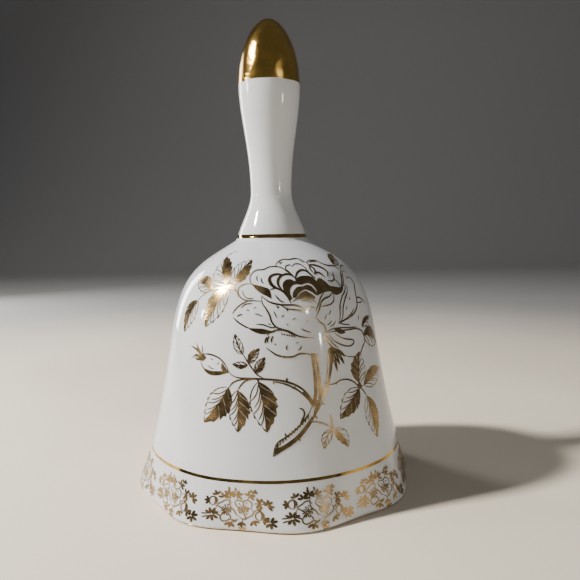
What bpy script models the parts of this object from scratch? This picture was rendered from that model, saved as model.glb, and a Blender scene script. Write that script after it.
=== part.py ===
"""Porcelain table bell with a gilded finial and a bead clapper on a brass chain.

The origin is the centre of the circle that the rim stands on, +Z is up and -Y is the decorated front.
All lengths are in metres.
"""

import math

import bmesh
import bpy

# Bell body
RIM_RADIUS = 0.0418           # mean radius of the scalloped rim
LOBE_COUNT = 8
LOBE_DEPTH = 0.00095          # how far a lobe stands out from the mean rim, and a valley in
LOBE_HEIGHT = 0.0150          # the lobes fade out at this height
LOBE_ANGLE = math.radians(-80)  # direction of one lobe's peak
BODY_WALL = 0.0028
RIM_ROUNDING = 0.4            # radius of the rim's edges, as a share of the wall
RIM_FLAT = 0.4                # width of the flat that the bell stands on, as a share of the wall
SKIRT_HEIGHT = 0.0460         # the skirt turns into the shoulder here
SKIRT_TOP_RADIUS = 0.0314
SKIRT_SLOPE = 0.165           # radius gained for each unit of drop at the top of the skirt
SKIRT_FLARE_POWER = 2.5       # how suddenly the skirt flares towards the rim
SHOULDER_RISE = 0.0278
SHOULDER_FULLNESS = 0.0194    # reach of the shoulder curve above the skirt
SHOULDER_REACH = 0.0108       # and outwards from the neck
SHOULDER_SLOPE = 0.62         # drop for each unit of radius where the shoulder meets the neck
NECK_RADIUS = 0.01065
NECK_RISE = 0.0010            # from the shoulder's end up to the seam under the handle
CROWN_THICKNESS = 0.0036
CROWN_HOLE_RADIUS = 0.0048

# Handle
HANDLE_WALL = 0.0024
FLARE_SLOPE = 0.28            # radius lost for each unit of rise at the foot of the handle
FLARE_HEIGHT = 0.0136         # from the seam to the waist
WAIST_RADIUS = 0.00623
GRIP_HEIGHT = 0.0323          # from the waist to the widest point
GRIP_RADIUS = 0.0093
FINIAL_HEIGHT = 0.0193        # from the widest point to the tip
GILDING_THICKNESS = 0.0004
# How far the handle's curves run on along their tangents, as shares of the stretch they shape
WAIST_REACH = 0.425
GRIP_REACH = 0.31
FINIAL_FULLNESS = 0.55
FINIAL_BLUNTNESS = 0.47

# Hanger, chain and clapper
WIRE_RADIUS = 0.00045
EYE_RADIUS = 0.0019           # loops are measured along the middle of the wire
EYE_BEND = 0.0006
EYE_START = 8                 # degrees round from the bend to the loop's first point
SHANK_LENGTH = 0.0050
PLUG_DROP = 0.0012            # the cement stands below the crown by this much
PLUG_RISE = 0.0020            # and above the seam by this much
LINK_COUNT = 5
LINK_BEND = 0.00165
LINK_STRAIGHT = 0.0026
PIN_LOOP_RADIUS = 0.0017
PIN_CURL_RADIUS = 0.0014
PIN_LENGTH = 0.0094           # bare wire between the loop and the bead
BEAD_RADIUS = 0.0070
BEAD_BORE = 0.0009

# Fits
GAP = 0.0003                  # between any two pieces that touch
WIRE_SEAT = 2 * WIRE_RADIUS + GAP   # from one wire's middle to the next where they hang together

# Smoothness: faces round each piece, and steps along each curve
BODY_SEGMENTS = 80
HANDLE_SEGMENTS = 28
SMALL_SEGMENTS = 20
BODY_STEPS = 8
FLARE_STEPS = 5
GRIP_STEPS = 6
LOOP_STEPS = 14
LINK_STEPS = 8
BEAD_STEPS = 12
BEND_STEPS = 4
SMOOTH_ANGLE = math.radians(40)  # sharper edges than this stay crisp

# Heights that follow from the sizes above
SHOULDER_TOP = SKIRT_HEIGHT + SHOULDER_RISE
SEAM = SHOULDER_TOP + NECK_RISE
CEILING = SEAM - CROWN_THICKNESS
WAIST = SEAM + FLARE_HEIGHT
GRIP = WAIST + GRIP_HEIGHT
TIP = GRIP + FINIAL_HEIGHT
PLUG_BOTTOM = CEILING - PLUG_DROP
EYE_CENTRE = PLUG_BOTTOM - GAP - EYE_BEND - EYE_RADIUS
LINK_HEIGHT = 2 * LINK_BEND + LINK_STRAIGHT
LINK_PITCH = LINK_HEIGHT - WIRE_SEAT
FIRST_HINGE = EYE_CENTRE - EYE_RADIUS
PIN_HINGE = FIRST_HINGE - LINK_COUNT * LINK_PITCH
PIN_LOOP_CENTRE = PIN_HINGE + WIRE_SEAT - PIN_LOOP_RADIUS
BEAD_CENTRE = PIN_LOOP_CENTRE - PIN_LOOP_RADIUS - PIN_LENGTH - BEAD_RADIUS

# Colour, roughness and metallic value of each material
MATERIALS = {
    "porcelain": ((0.86, 0.87, 0.89, 1.0), 0.08, 0.0),
    "bright_gold": ((0.83, 0.58, 0.24, 1.0), 0.16, 1.0),
    "cement": ((0.62, 0.60, 0.55, 1.0), 0.85, 0.0),
    "brass": ((0.78, 0.60, 0.30, 1.0), 0.28, 1.0),
}


def clear_scene():
    for obj in list(bpy.data.objects):
        bpy.data.objects.remove(obj, do_unlink=True)


def finish_of(kind):
    """The Principled material of one kind, made the first time it is asked for."""
    if kind in bpy.data.materials:
        return bpy.data.materials[kind]
    colour, roughness, metallic = MATERIALS[kind]
    material = bpy.data.materials.new(kind)
    material.use_nodes = True
    shader = material.node_tree.nodes["Principled BSDF"]
    shader.inputs["Base Color"].default_value = colour
    shader.inputs["Roughness"].default_value = roughness
    shader.inputs["Metallic"].default_value = metallic
    return material


def place(name, data, kind, height=0.0):
    """Put mesh or curve data into the scene as one named piece at a height on the axis."""
    obj = bpy.data.objects.new(name, data)
    obj.location.z = height
    data.materials.append(finish_of(kind))
    bpy.context.scene.collection.objects.link(obj)
    return obj


def bezier(start, start_pull, end_pull, end, steps):
    """Points of a cubic curve in (radius, height), without its first point."""
    points = []
    for i in range(1, steps + 1):
        t = i / steps
        weights = ((1 - t) ** 3, 3 * t * (1 - t) ** 2, 3 * t * t * (1 - t), t ** 3)
        points.append(tuple(
            sum(w * p[axis] for w, p in zip(weights, (start, start_pull, end_pull, end)))
            for axis in (0, 1)))
    return points


def offset(points, distance):
    """Move an outline that runs upwards to its left, which is towards the axis, by a distance."""
    moved = []
    for i, (radius, height) in enumerate(points):
        before = points[max(i - 1, 0)]
        after = points[min(i + 1, len(points) - 1)]
        run, rise = after[0] - before[0], after[1] - before[1]
        length = math.hypot(run, rise)
        moved.append((radius - distance * rise / length, height + distance * run / length))
    return moved


def skirt_radius(height):
    """Outer radius of the skirt: a straight slope near the shoulder and a flare near the rim."""
    drop = SKIRT_HEIGHT - height
    flare = RIM_RADIUS - SKIRT_TOP_RADIUS - SKIRT_SLOPE * SKIRT_HEIGHT
    return SKIRT_TOP_RADIUS + SKIRT_SLOPE * drop + flare * (drop / SKIRT_HEIGHT) ** SKIRT_FLARE_POWER


def body_outline(rim_round):
    """Outer outline of the body from the top of the rim's rounding up to the shoulder's end."""
    points = []
    for i in range(BODY_STEPS + 1):
        height = rim_round + (SKIRT_HEIGHT - rim_round) * i / BODY_STEPS
        points.append((skirt_radius(height), height))
    start = points[-1]
    end = (NECK_RADIUS + SHOULDER_SLOPE * NECK_RISE, SHOULDER_TOP)
    start_pull = (start[0] - SKIRT_SLOPE * SHOULDER_FULLNESS, start[1] + SHOULDER_FULLNESS)
    end_pull = (end[0] + SHOULDER_REACH, end[1] - SHOULDER_SLOPE * SHOULDER_REACH)
    return points + bezier(start, start_pull, end_pull, end, BODY_STEPS)


def flare_and_grip():
    """Outer outline of the handle from the seam up to its widest point."""
    foot = (NECK_RADIUS, SEAM + GAP)
    waist = (WAIST_RADIUS, WAIST)
    grip = (GRIP_RADIUS, GRIP)
    third = FLARE_HEIGHT / 3
    lower = bezier(foot, (foot[0] - FLARE_SLOPE * third, foot[1] + third),
                   (waist[0], waist[1] - third), waist, FLARE_STEPS)
    upper = bezier(waist, (waist[0], waist[1] + WAIST_REACH * GRIP_HEIGHT),
                   (grip[0], grip[1] - GRIP_REACH * GRIP_HEIGHT), grip, GRIP_STEPS)
    return [foot] + lower + upper


def finial():
    """Outer outline of the finial, from just above the widest point to the tip on the axis."""
    grip, tip = (GRIP_RADIUS, GRIP), (0.0, TIP)
    return bezier(grip, (grip[0], grip[1] + FINIAL_FULLNESS * FINIAL_HEIGHT),
                  (FINIAL_BLUNTNESS * GRIP_RADIUS, tip[1]), tip, GRIP_STEPS)


def lobes(angle, height):
    """How far the scalloped rim stands out from a plain circle at an angle and a height."""
    if height >= LOBE_HEIGHT:
        return 0.0
    fade = 1 - height / LOBE_HEIGHT
    return LOBE_DEPTH * fade * fade * (3 - 2 * fade) * math.cos(LOBE_COUNT * (angle - LOBE_ANGLE))


def turned(name, outline, segments, kind, closed=False, lobed=False, height=0.0):
    """Turn an outline of (radius, height) points about Z; closed joins its last point to its first."""
    mesh = bmesh.new()
    rings = []
    for radius, level in outline:
        if radius < 1e-7:
            rings.append([mesh.verts.new((0.0, 0.0, level))])
            continue
        ring = []
        for i in range(segments):
            angle = LOBE_ANGLE + 2 * math.pi * i / segments
            reach = radius + (lobes(angle, level) if lobed else 0.0)
            ring.append(mesh.verts.new((reach * math.cos(angle), reach * math.sin(angle), level)))
        rings.append(ring)
    pairs = list(zip(rings, rings[1:]))
    if closed:
        pairs.append((rings[-1], rings[0]))
    for low, high in pairs:
        if len(low) == len(high) == 1:
            continue
        for i in range(segments):
            j = (i + 1) % segments
            corners = [low[i % len(low)], low[j % len(low)], high[j % len(high)], high[i % len(high)]]
            mesh.faces.new(list(dict.fromkeys(corners)))
    bmesh.ops.recalc_face_normals(mesh, faces=mesh.faces)
    data = bpy.data.meshes.new(name)
    mesh.to_mesh(data)
    mesh.free()
    data.shade_smooth()
    data.set_sharp_from_angle(angle=SMOOTH_ANGLE)
    return place(name, data, kind, height)


def wire(name, path, kind, height, cyclic=False):
    """Round wire swept along a path of (x, y, z) points, measured from its own origin."""
    curve = bpy.data.curves.new(name, "CURVE")
    curve.dimensions = "3D"
    curve.bevel_depth = WIRE_RADIUS
    curve.bevel_resolution = 2
    curve.use_fill_caps = not cyclic
    spline = curve.splines.new("POLY")
    spline.points.add(len(path) - 1)
    for point, position in zip(spline.points, path):
        point.co = (*position, 1.0)
    spline.use_cyclic_u = cyclic
    spline.use_smooth = True
    return place(name, curve, kind, height)


def arc(centre, radius, start, end, steps):
    """Points (x, z) on a circle from one angle to another, both included, in degrees."""
    points = []
    for i in range(steps + 1):
        angle = math.radians(start + (end - start) * i / steps)
        points.append((centre[0] + radius * math.cos(angle), centre[1] + radius * math.sin(angle)))
    return points


def eye(centre, radius):
    """A wire eye below a shank: the bend from the shank, then the loop, stopping short of the shank."""
    bend = arc((EYE_BEND, centre + radius + EYE_BEND), EYE_BEND, 180, 270, BEND_STEPS)
    first = math.degrees(math.acos(EYE_BEND / radius)) - EYE_START
    clear = math.degrees(math.asin(WIRE_SEAT / radius))
    return bend + arc((0.0, centre), radius, first, clear - 270, LOOP_STEPS)


def make_body():
    rim_round = RIM_ROUNDING * BODY_WALL
    bevel = rim_round * (1 - math.cos(math.radians(45)))
    outer = body_outline(rim_round)
    inner = [p for p in offset(outer, BODY_WALL) if p[0] > CROWN_HOLE_RADIUS + BODY_WALL]
    inner[0] = (inner[0][0], rim_round)
    half_flat = RIM_FLAT * BODY_WALL / 2
    middle = (outer[0][0] + inner[0][0]) / 2
    rim_out = [(middle + half_flat, 0.0), (outer[0][0] - bevel, bevel)]
    rim_in = [(inner[0][0] + bevel, bevel), (middle - half_flat, 0.0)]
    crown = [(NECK_RADIUS, SEAM), (CROWN_HOLE_RADIUS, SEAM), (CROWN_HOLE_RADIUS, CEILING)]
    outline = rim_out + outer + crown + inner[::-1] + rim_in
    turned("bell_body", outline, BODY_SEGMENTS, "porcelain", closed=True, lobed=True)


def make_handle():
    outer = flare_and_grip()
    undercut = GILDING_THICKNESS + GAP
    under_tip = offset([outer[-1]] + finial(), undercut)
    under_tip[0] = (GRIP_RADIUS - undercut, GRIP)
    under_tip[-1] = (0.0, TIP - undercut)
    hollow = offset(outer + finial(), HANDLE_WALL)
    hollow[0] = (hollow[0][0], SEAM + GAP)
    hollow[-1] = (0.0, TIP - HANDLE_WALL)
    turned("handle", outer + under_tip + hollow[::-1], HANDLE_SEGMENTS, "porcelain", closed=True)


def make_finial_gilding():
    rise = GRIP + GAP
    outer = [(GRIP_RADIUS, rise)] + finial()
    inner = offset([(GRIP_RADIUS, GRIP)] + finial(), GILDING_THICKNESS)
    inner[0] = (GRIP_RADIUS - GILDING_THICKNESS, rise)
    inner[-1] = (0.0, TIP - GILDING_THICKNESS)
    turned("finial_gilding", outer[::-1] + inner, HANDLE_SEGMENTS, "bright_gold")


def make_crown_plug():
    radius = CROWN_HOLE_RADIUS - GAP
    bore = WIRE_RADIUS + GAP
    crowned = arc((radius - PLUG_DROP, PLUG_BOTTOM + PLUG_DROP), PLUG_DROP, -90, 0, BEND_STEPS)
    outline = [(bore, PLUG_BOTTOM)] + crowned + [(radius, SEAM + PLUG_RISE), (bore, SEAM + PLUG_RISE)]
    turned("crown_plug", outline, SMALL_SEGMENTS, "cement", closed=True)


def make_hanger_eye():
    """The eye lies in the XZ plane, with its origin on the first hinge."""
    loop = eye(EYE_CENTRE - FIRST_HINGE, EYE_RADIUS)
    shank = [(0.0, PLUG_BOTTOM + SHANK_LENGTH - FIRST_HINGE)]
    wire("hanger_eye", [(x, 0.0, z) for x, z in shank + loop], "brass", FIRST_HINGE)


def make_link(number):
    """One oval link, with its origin on the wire it hangs on; odd links lie in the YZ plane."""
    top = WIRE_SEAT - LINK_BEND
    oval = arc((0.0, top), LINK_BEND, 0, 180, LINK_STEPS)
    oval += arc((0.0, top - LINK_STRAIGHT), LINK_BEND, 180, 360, LINK_STEPS)
    across = number % 2 == 1
    path = [(0.0, u, z) if across else (u, 0.0, z) for u, z in oval]
    hinge = FIRST_HINGE - (number - 1) * LINK_PITCH
    wire("chain_link_%d" % number, path, "brass", hinge, cyclic=True)


def make_clapper_pin():
    """Top loop, straight wire through the bead and a curl under it, all in one piece of wire."""
    across = LINK_COUNT % 2 == 0
    loop = [(x, -z) for x, z in eye(PIN_HINGE - PIN_LOOP_CENTRE, PIN_LOOP_RADIUS)]
    curl_centre = BEAD_CENTRE - BEAD_RADIUS - GAP - EYE_BEND - PIN_CURL_RADIUS
    curl = eye(curl_centre - PIN_HINGE, PIN_CURL_RADIUS)
    path = [(0.0, u, z) if across else (u, 0.0, z) for u, z in loop[::-1] + curl]
    wire("clapper_pin", path, "brass", PIN_HINGE)


def make_clapper_bead():
    start = math.degrees(math.asin(BEAD_BORE / BEAD_RADIUS))
    ball = arc((0.0, 0.0), BEAD_RADIUS, start - 90, 90 - start, BEAD_STEPS)
    turned("clapper_bead", ball, SMALL_SEGMENTS, "porcelain", closed=True, height=BEAD_CENTRE)


def main():
    clear_scene()
    make_body()
    make_handle()
    make_finial_gilding()
    make_crown_plug()
    make_hanger_eye()
    for number in range(1, LINK_COUNT + 1):
        make_link(number)
    make_clapper_pin()
    make_clapper_bead()


main()
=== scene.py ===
"""Looks of the porcelain table bell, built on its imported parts.

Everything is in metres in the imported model's frame: +Z is up, the rim stands on z = 0 and -Y is the
decorated front. The gold print is drawn in millimetres on the opened-out wall, x round from the front and
y up from the rim.
"""

import bisect
import math

import bpy
from mathutils import Matrix, Vector


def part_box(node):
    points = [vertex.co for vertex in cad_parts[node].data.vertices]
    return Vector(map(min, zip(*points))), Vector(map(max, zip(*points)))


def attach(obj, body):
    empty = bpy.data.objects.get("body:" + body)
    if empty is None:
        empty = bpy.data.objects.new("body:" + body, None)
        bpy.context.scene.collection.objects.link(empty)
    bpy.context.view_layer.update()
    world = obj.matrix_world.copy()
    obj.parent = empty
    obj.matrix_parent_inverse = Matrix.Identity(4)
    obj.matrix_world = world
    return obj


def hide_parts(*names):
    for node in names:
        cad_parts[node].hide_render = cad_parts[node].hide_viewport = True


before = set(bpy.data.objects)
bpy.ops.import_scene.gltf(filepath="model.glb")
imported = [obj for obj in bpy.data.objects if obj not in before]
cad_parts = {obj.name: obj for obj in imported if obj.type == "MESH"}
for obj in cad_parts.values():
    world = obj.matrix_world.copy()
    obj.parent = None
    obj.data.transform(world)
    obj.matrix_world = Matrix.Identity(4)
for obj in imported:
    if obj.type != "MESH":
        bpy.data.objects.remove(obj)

bl_info = {
    "name": "Porcelain Table Bell",
    "version": (1, 0, 0),
    "blender": (4, 5, 0),
    "location": "View3D > Sidebar > Bell",
    "description": "Builds a gilded porcelain table bell with its chain, clapper and printed roses",
    "category": "Add Mesh",
}

MM = 0.001
FULL_TURN = 2 * math.pi
SAME_POINT = 1e-7
SOFT_EDGE = math.radians(40)
BODY_STEPS, HANDLE_STEPS, BEAD_STEPS, PLUG_STEPS = 256, 160, 96, 64
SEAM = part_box("bell_body")[1].z
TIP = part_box("finial_gilding")[1].z
BEAD_LOW, BEAD_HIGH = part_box("clapper_bead")
PLUG_LOW, PLUG_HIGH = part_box("crown_plug")
PIN_LOW, PIN_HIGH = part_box("clapper_pin")
EYE_LOW, EYE_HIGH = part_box("hanger_eye")


def length(name, default, description):
    return bpy.props.FloatProperty(name=name, description=description, default=default, min=0.0,
                                   precision=5, subtype="DISTANCE", unit="LENGTH")


def colour(name, default, description):
    return bpy.props.FloatVectorProperty(name=name, description=description, default=default,
                                         min=0.0, max=1.0, subtype="COLOR")


# ---------------------------------------------------------------- sizes and colours

class BellShape(bpy.types.PropertyGroup):
    """Sizes of the porcelain body and handle."""
    rim_radius: length("Rim radius", 0.0418, "Mean radius of the scalloped rim")
    lobe_count: bpy.props.IntProperty(name="Lobes", description="Lobes round the rim", default=8, min=1)
    lobe_depth: length("Lobe depth", 0.00095, "How far a lobe stands out from the mean rim")
    lobe_height: length("Lobe height", 0.0150, "Where the lobes fade out")
    lobe_turn: bpy.props.FloatProperty(name="Lobe direction", description="Direction of one lobe's peak",
                                       default=math.radians(-80), subtype="ANGLE", unit="ROTATION")
    wall: length("Wall", 0.0028, "Thickness of the body")
    edge: length("Rim edge", 0.00112, "Radius of the rim's rounded edges")
    skirt_height: length("Skirt height", 0.0460, "Where the skirt turns into the shoulder")
    skirt_top_radius: length("Skirt top radius", 0.0314, "Outer radius where the shoulder begins")
    shoulder_top: length("Shoulder top", 0.0738, "Height where the shoulder ends under the neck")
    neck_radius: length("Neck radius", 0.01065, "Outer radius at the seam")
    seam: length("Seam", SEAM, "Height of the seam between body and handle")
    crown: length("Crown", 0.0036, "Thickness of the crown under the handle")
    crown_hole: length("Crown hole", 0.0048, "Radius of the hole through the crown")
    waist_radius: length("Waist radius", 0.00623, "Thinnest part of the handle")
    waist: length("Waist", 0.0884, "Height of the handle's waist")
    grip_radius: length("Grip radius", 0.0093, "Widest part of the handle")
    grip: length("Grip", 0.1207, "Height of the widest part, where the gilding starts")
    tip: length("Tip", TIP, "Height of the tip")
    handle_wall: length("Handle wall", 0.0024, "Thickness of the hollow handle")


class HangingShape(bpy.types.PropertyGroup):
    """Sizes of the hanger, chain and clapper."""
    wire: length("Wire radius", 0.00045, "Radius of the brass wire")
    eye_radius: length("Eye radius", 0.0019, "Hanger eye, to the middle of the wire")
    eye_bend: length("Eye bend", 0.0006, "Bend from a shank into its eye")
    link_bend: length("Link bend", 0.00165, "End radius of a link, to the middle of the wire")
    link_straight: length("Link straight", 0.0026, "Straight side of a link")
    pin_loop: length("Pin loop", 0.0017, "Loop at the top of the clapper's wire")
    pin_curl: length("Pin curl", 0.0014, "Curl under the bead")
    bead_radius: length("Bead radius", 0.0070, "Radius of the porcelain bead")
    bore: length("Bead bore", 0.0009, "Radius of the hole through the bead")
    bore_lip: length("Bore lip", 0.0003, "Rounding at the ends of the bead's bore")
    plug_edge: length("Plug edge", 0.0012, "Rounding round the plug's lower face")


class GoldShape(bpy.types.PropertyGroup):
    """Sizes of the gilding and the printed decoration."""
    skin: length("Finial skin", 0.0004, "Thickness of the gilding on the tip")
    lift: length("Print lift", 0.00003, "How far the print stands above the glaze")
    print_depth: length("Print depth", 0.00004, "Thickness of the print, sunk into the glaze")
    band: length("Skirt line", 0.00080, "Width of the line above the rim's flowers")
    band_height: length("Skirt line height", 0.0128, "How far up the wall that line lies")
    neck_band: length("Neck line", 0.0012, "Width of the line round the seam")
    rim_band: length("Rim line", 0.00045, "Width of the line on the rim's edge")
    spray_count: bpy.props.IntProperty(name="Sprays", description="Flower sprays round the rim",
                                       default=12, min=1)


class BellColours(bpy.types.PropertyGroup):
    """Colours of the finishes."""
    glaze: colour("Glaze", (0.785, 0.81, 0.835), "Cool white of the porcelain")
    gold: colour("Bright gold", (0.86, 0.53, 0.125), "Mirror gold of the finial and the lines")
    print_gold: colour("Print gold", (0.55, 0.375, 0.17), "Thinner gold of the printed flowers")
    brass: colour("Brass", (0.70, 0.50, 0.22), "Wire of the chain and the clapper")
    cement: colour("Cement", (0.55, 0.53, 0.48), "Plug in the crown")
    floor: colour("Floor", (0.94, 0.84, 0.68), "Pale floor of the stage")


def shape():
    return bpy.context.scene.bell_shape


def hanging():
    return bpy.context.scene.bell_hanging


def gold():
    return bpy.context.scene.bell_gold


def colours():
    return bpy.context.scene.bell_colours


# ---------------------------------------------------------------- outlines of the turned shapes

def bezier(start, start_pull, end_pull, end, steps):
    """Points of a cubic curve in (radius, height), without its first point."""
    points = []
    for i in range(1, steps + 1):
        t = i / steps
        weights = ((1 - t) ** 3, 3 * t * (1 - t) ** 2, 3 * t * t * (1 - t), t ** 3)
        points.append(tuple(sum(w * p[axis] for w, p in zip(weights, (start, start_pull, end_pull, end)))
                            for axis in (0, 1)))
    return points


def offset(points, distance):
    """Move an outline that runs upwards towards the axis by a distance."""
    moved = []
    for i, (radius, height) in enumerate(points):
        before, after = points[max(i - 1, 0)], points[min(i + 1, len(points) - 1)]
        run, rise = after[0] - before[0], after[1] - before[1]
        reach = math.hypot(run, rise)
        moved.append((radius - distance * rise / reach, height + distance * run / reach))
    return moved


def arc(centre, radius, start, end, steps):
    """Points on a circle from one angle to another, both included, in degrees."""
    angles = [math.radians(start + (end - start) * i / steps) for i in range(steps + 1)]
    return [(centre[0] + radius * math.cos(a), centre[1] + radius * math.sin(a)) for a in angles]


SKIRT_SLOPE = 0.165


def skirt_radius(height):
    """Outer radius of the skirt: a straight slope from its top, with a flare that comes in late."""
    s = shape()
    power = 2.5
    drop = max(s.skirt_height - height, 0.0)
    flare = s.rim_radius - s.skirt_top_radius - SKIRT_SLOPE * s.skirt_height
    return s.skirt_top_radius + SKIRT_SLOPE * drop + flare * (drop / s.skirt_height) ** power


def body_outline():
    """Outer outline of the body, from the top of the rim's rounding up to the seam."""
    s = shape()
    rows = 48
    heights = [s.edge + (s.skirt_height - s.edge) * i / rows for i in range(rows + 1)]
    points = [(skirt_radius(height), height) for height in heights]
    start = points[-1]
    start_reach, end_reach, neck_slope = 0.0194, 0.0108, 0.62
    end = (s.neck_radius + neck_slope * (s.seam - s.shoulder_top), s.shoulder_top)
    points += bezier(start, (start[0] - SKIRT_SLOPE * start_reach, start[1] + start_reach),
                     (end[0] + end_reach, end[1] - neck_slope * end_reach), end, 40)
    return points + [(s.neck_radius, s.seam)]


def rim_rounding(radius, side):
    """The rim's rounded edge below an outline's first point; side is 1 outside and -1 inside."""
    edge = shape().edge
    return [(radius + side * (x - edge), z) for x, z in arc((0.0, edge), edge, -90, 0, 7)[:-1]]


def handle_outline(foot):
    """Outer outline of the handle, from its foot up to the widest point."""
    s = shape()
    base, waist, grip = (s.neck_radius, foot), (s.waist_radius, s.waist), (s.grip_radius, s.grip)
    third, rise = (s.waist - s.seam) / 3, s.grip - s.waist
    foot_slope, waist_pull, grip_pull = 0.28, 0.425 * rise, 0.31 * rise
    below = bezier(base, (base[0] - foot_slope * third, base[1] + third),
                   (waist[0], waist[1] - third), waist, 22)
    above = bezier(waist, (waist[0], waist[1] + waist_pull), (grip[0], grip[1] - grip_pull), grip, 30)
    return [base] + below + above


def finial_outline():
    """Outer outline of the finial, above the widest point, to the tip on the axis."""
    s = shape()
    side_pull, top_pull = 0.55 * (s.tip - s.grip), 0.47 * s.grip_radius
    return bezier((s.grip_radius, s.grip), (s.grip_radius, s.grip + side_pull), (top_pull, s.tip),
                  (0.0, s.tip), 36)


def lobes(angle, height):
    """How far the scalloped rim stands out from a plain circle at an angle and a height."""
    s = shape()
    if height >= s.lobe_height:
        return 0.0
    fade = 1 - height / s.lobe_height
    return s.lobe_depth * fade * fade * (3 - 2 * fade) * math.cos(s.lobe_count * (angle - s.lobe_turn))


class Wall:
    """The bell's outer face opened out flat, so that a drawing can be laid on it."""

    def __init__(self):
        outline = body_outline()
        first = outline[0]
        rim = rim_rounding(first[0], 1)
        self.points = rim + outline + handle_outline(shape().seam)[1:]
        lengths = [0.0]
        for a, b in zip(self.points, self.points[1:]):
            lengths.append(lengths[-1] + math.dist(a, b))
        # y is 0 where the skirt would meet the floor if its edge weren't rounded
        start = math.dist((skirt_radius(0.0), 0.0), first) - lengths[len(rim)]
        self.lengths = [start + reach for reach in lengths]
        self.seam = self.lengths[len(rim) + len(outline) - 1]
        self.round = 0.033  # x on a drawing is this radius times the angle from the front

    def outline_at(self, y):
        """Radius, before the lobes, and height y up the wall."""
        i = min(max(bisect.bisect(self.lengths, y) - 1, 0), len(self.points) - 2)
        share = (y - self.lengths[i]) / (self.lengths[i + 1] - self.lengths[i])
        return tuple(a + (b - a) * share for a, b in zip(self.points[i], self.points[i + 1]))

    def lifted(self, y, lift):
        """That point of the outline moved off the wall."""
        near = 0.0001
        (r0, z0), (r1, z1) = self.outline_at(y - near), self.outline_at(y + near)
        reach = math.hypot(r1 - r0, z1 - z0)
        radius, height = self.outline_at(y)
        return radius + lift * (z1 - z0) / reach, height - lift * (r1 - r0) / reach

    def at(self, x, y):
        """The point of the face x round from the front and y up the wall."""
        radius, height = self.outline_at(y)
        angle = x / self.round - math.pi / 2
        radius += lobes(angle, height)
        return Vector((radius * math.cos(angle), radius * math.sin(angle), height))

    def lay(self, x, y, lift):
        """That point lifted off the face."""
        near = 0.0004
        here = self.at(x, y)
        across = self.at(x + near, y) - self.at(x - near, y)
        up = self.at(x, y + near) - self.at(x, y - near)
        return here + across.cross(up).normalized() * lift


# ---------------------------------------------------------------- making pieces

def select_only(piece):
    """Select one piece and make it the active one."""
    bpy.ops.object.select_all(action="DESELECT")
    piece.select_set(True)
    bpy.context.view_layer.objects.active = piece


def close_up():
    """Merge the edited piece's doubles, turn its faces outwards, leave edit mode and shade it smooth."""
    bpy.ops.mesh.select_all(action="SELECT")
    bpy.ops.mesh.remove_doubles(threshold=SAME_POINT)
    bpy.ops.mesh.delete_loose()
    bpy.ops.mesh.select_all(action="SELECT")
    bpy.ops.mesh.normals_make_consistent(inside=False)
    bpy.ops.object.mode_set(mode="OBJECT")
    bpy.ops.object.transform_apply(location=True, rotation=True, scale=True)
    bpy.ops.object.shade_smooth_by_angle(angle=SOFT_EDGE)


def start_point(name, place):
    """Begin a piece as one point, in edit mode."""
    bpy.ops.object.select_all(action="DESELECT")
    bpy.ops.mesh.primitive_plane_add(size=MM, enter_editmode=True, location=place)
    piece = bpy.context.object
    piece.name = piece.data.name = name
    bpy.ops.mesh.merge(type="CENTER")
    return piece


def turn(name, outline, steps):
    """Draw a closed outline of (radius, height) points by extruding a point along it, and spin it about Z."""
    places = [Vector((radius, 0.0, height)) for radius, height in outline]
    piece = start_point(name, places[0])
    for here, there in zip(places, places[1:] + places[:1]):
        bpy.ops.mesh.extrude_region_move(TRANSFORM_OT_translate={"value": there - here})
    bpy.ops.mesh.select_all(action="SELECT")
    bpy.ops.mesh.spin(steps=steps, angle=FULL_TURN, center=(0, 0, 0), axis=(0, 0, 1), use_auto_merge=True)
    close_up()
    return piece


def scallop(piece):
    """Push a turned piece's points out and in with the rim's lobes, a wave that no operator makes."""
    for vertex in piece.data.vertices:
        across = vertex.co.xy
        if across.length > MM and vertex.co.z < shape().lobe_height:
            reach = lobes(math.atan2(across.y, across.x), vertex.co.z)
            vertex.co.xy = across * (1 + reach / across.length)


def wire(name, path, closed=False):
    """Round brass wire swept along (x, y, z) points."""
    curve = bpy.data.curves.new(name, "CURVE")
    curve.dimensions = "3D"
    curve.bevel_depth = hanging().wire
    curve.bevel_resolution = 5
    curve.use_fill_caps = not closed
    line = curve.splines.new("POLY")
    line.points.add(len(path) - 1)
    for point, place in zip(line.points, path):
        point.co = (*place, 1.0)
    line.use_cyclic_u = closed
    piece = bpy.data.objects.new(name, curve)
    bpy.context.scene.collection.objects.link(piece)
    select_only(piece)
    bpy.ops.object.convert(target="MESH")
    bpy.ops.object.mode_set(mode="EDIT")
    close_up()
    return bpy.context.object


def finish_piece(piece, material, body, slot, *nodes):
    """Give a piece its finish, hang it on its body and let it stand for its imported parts."""
    piece.data.materials.clear()
    piece.data.materials.append(material)
    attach(piece, body)
    if nodes:
        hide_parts(*nodes)
    return piece


# ---------------------------------------------------------------- finishes

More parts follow.
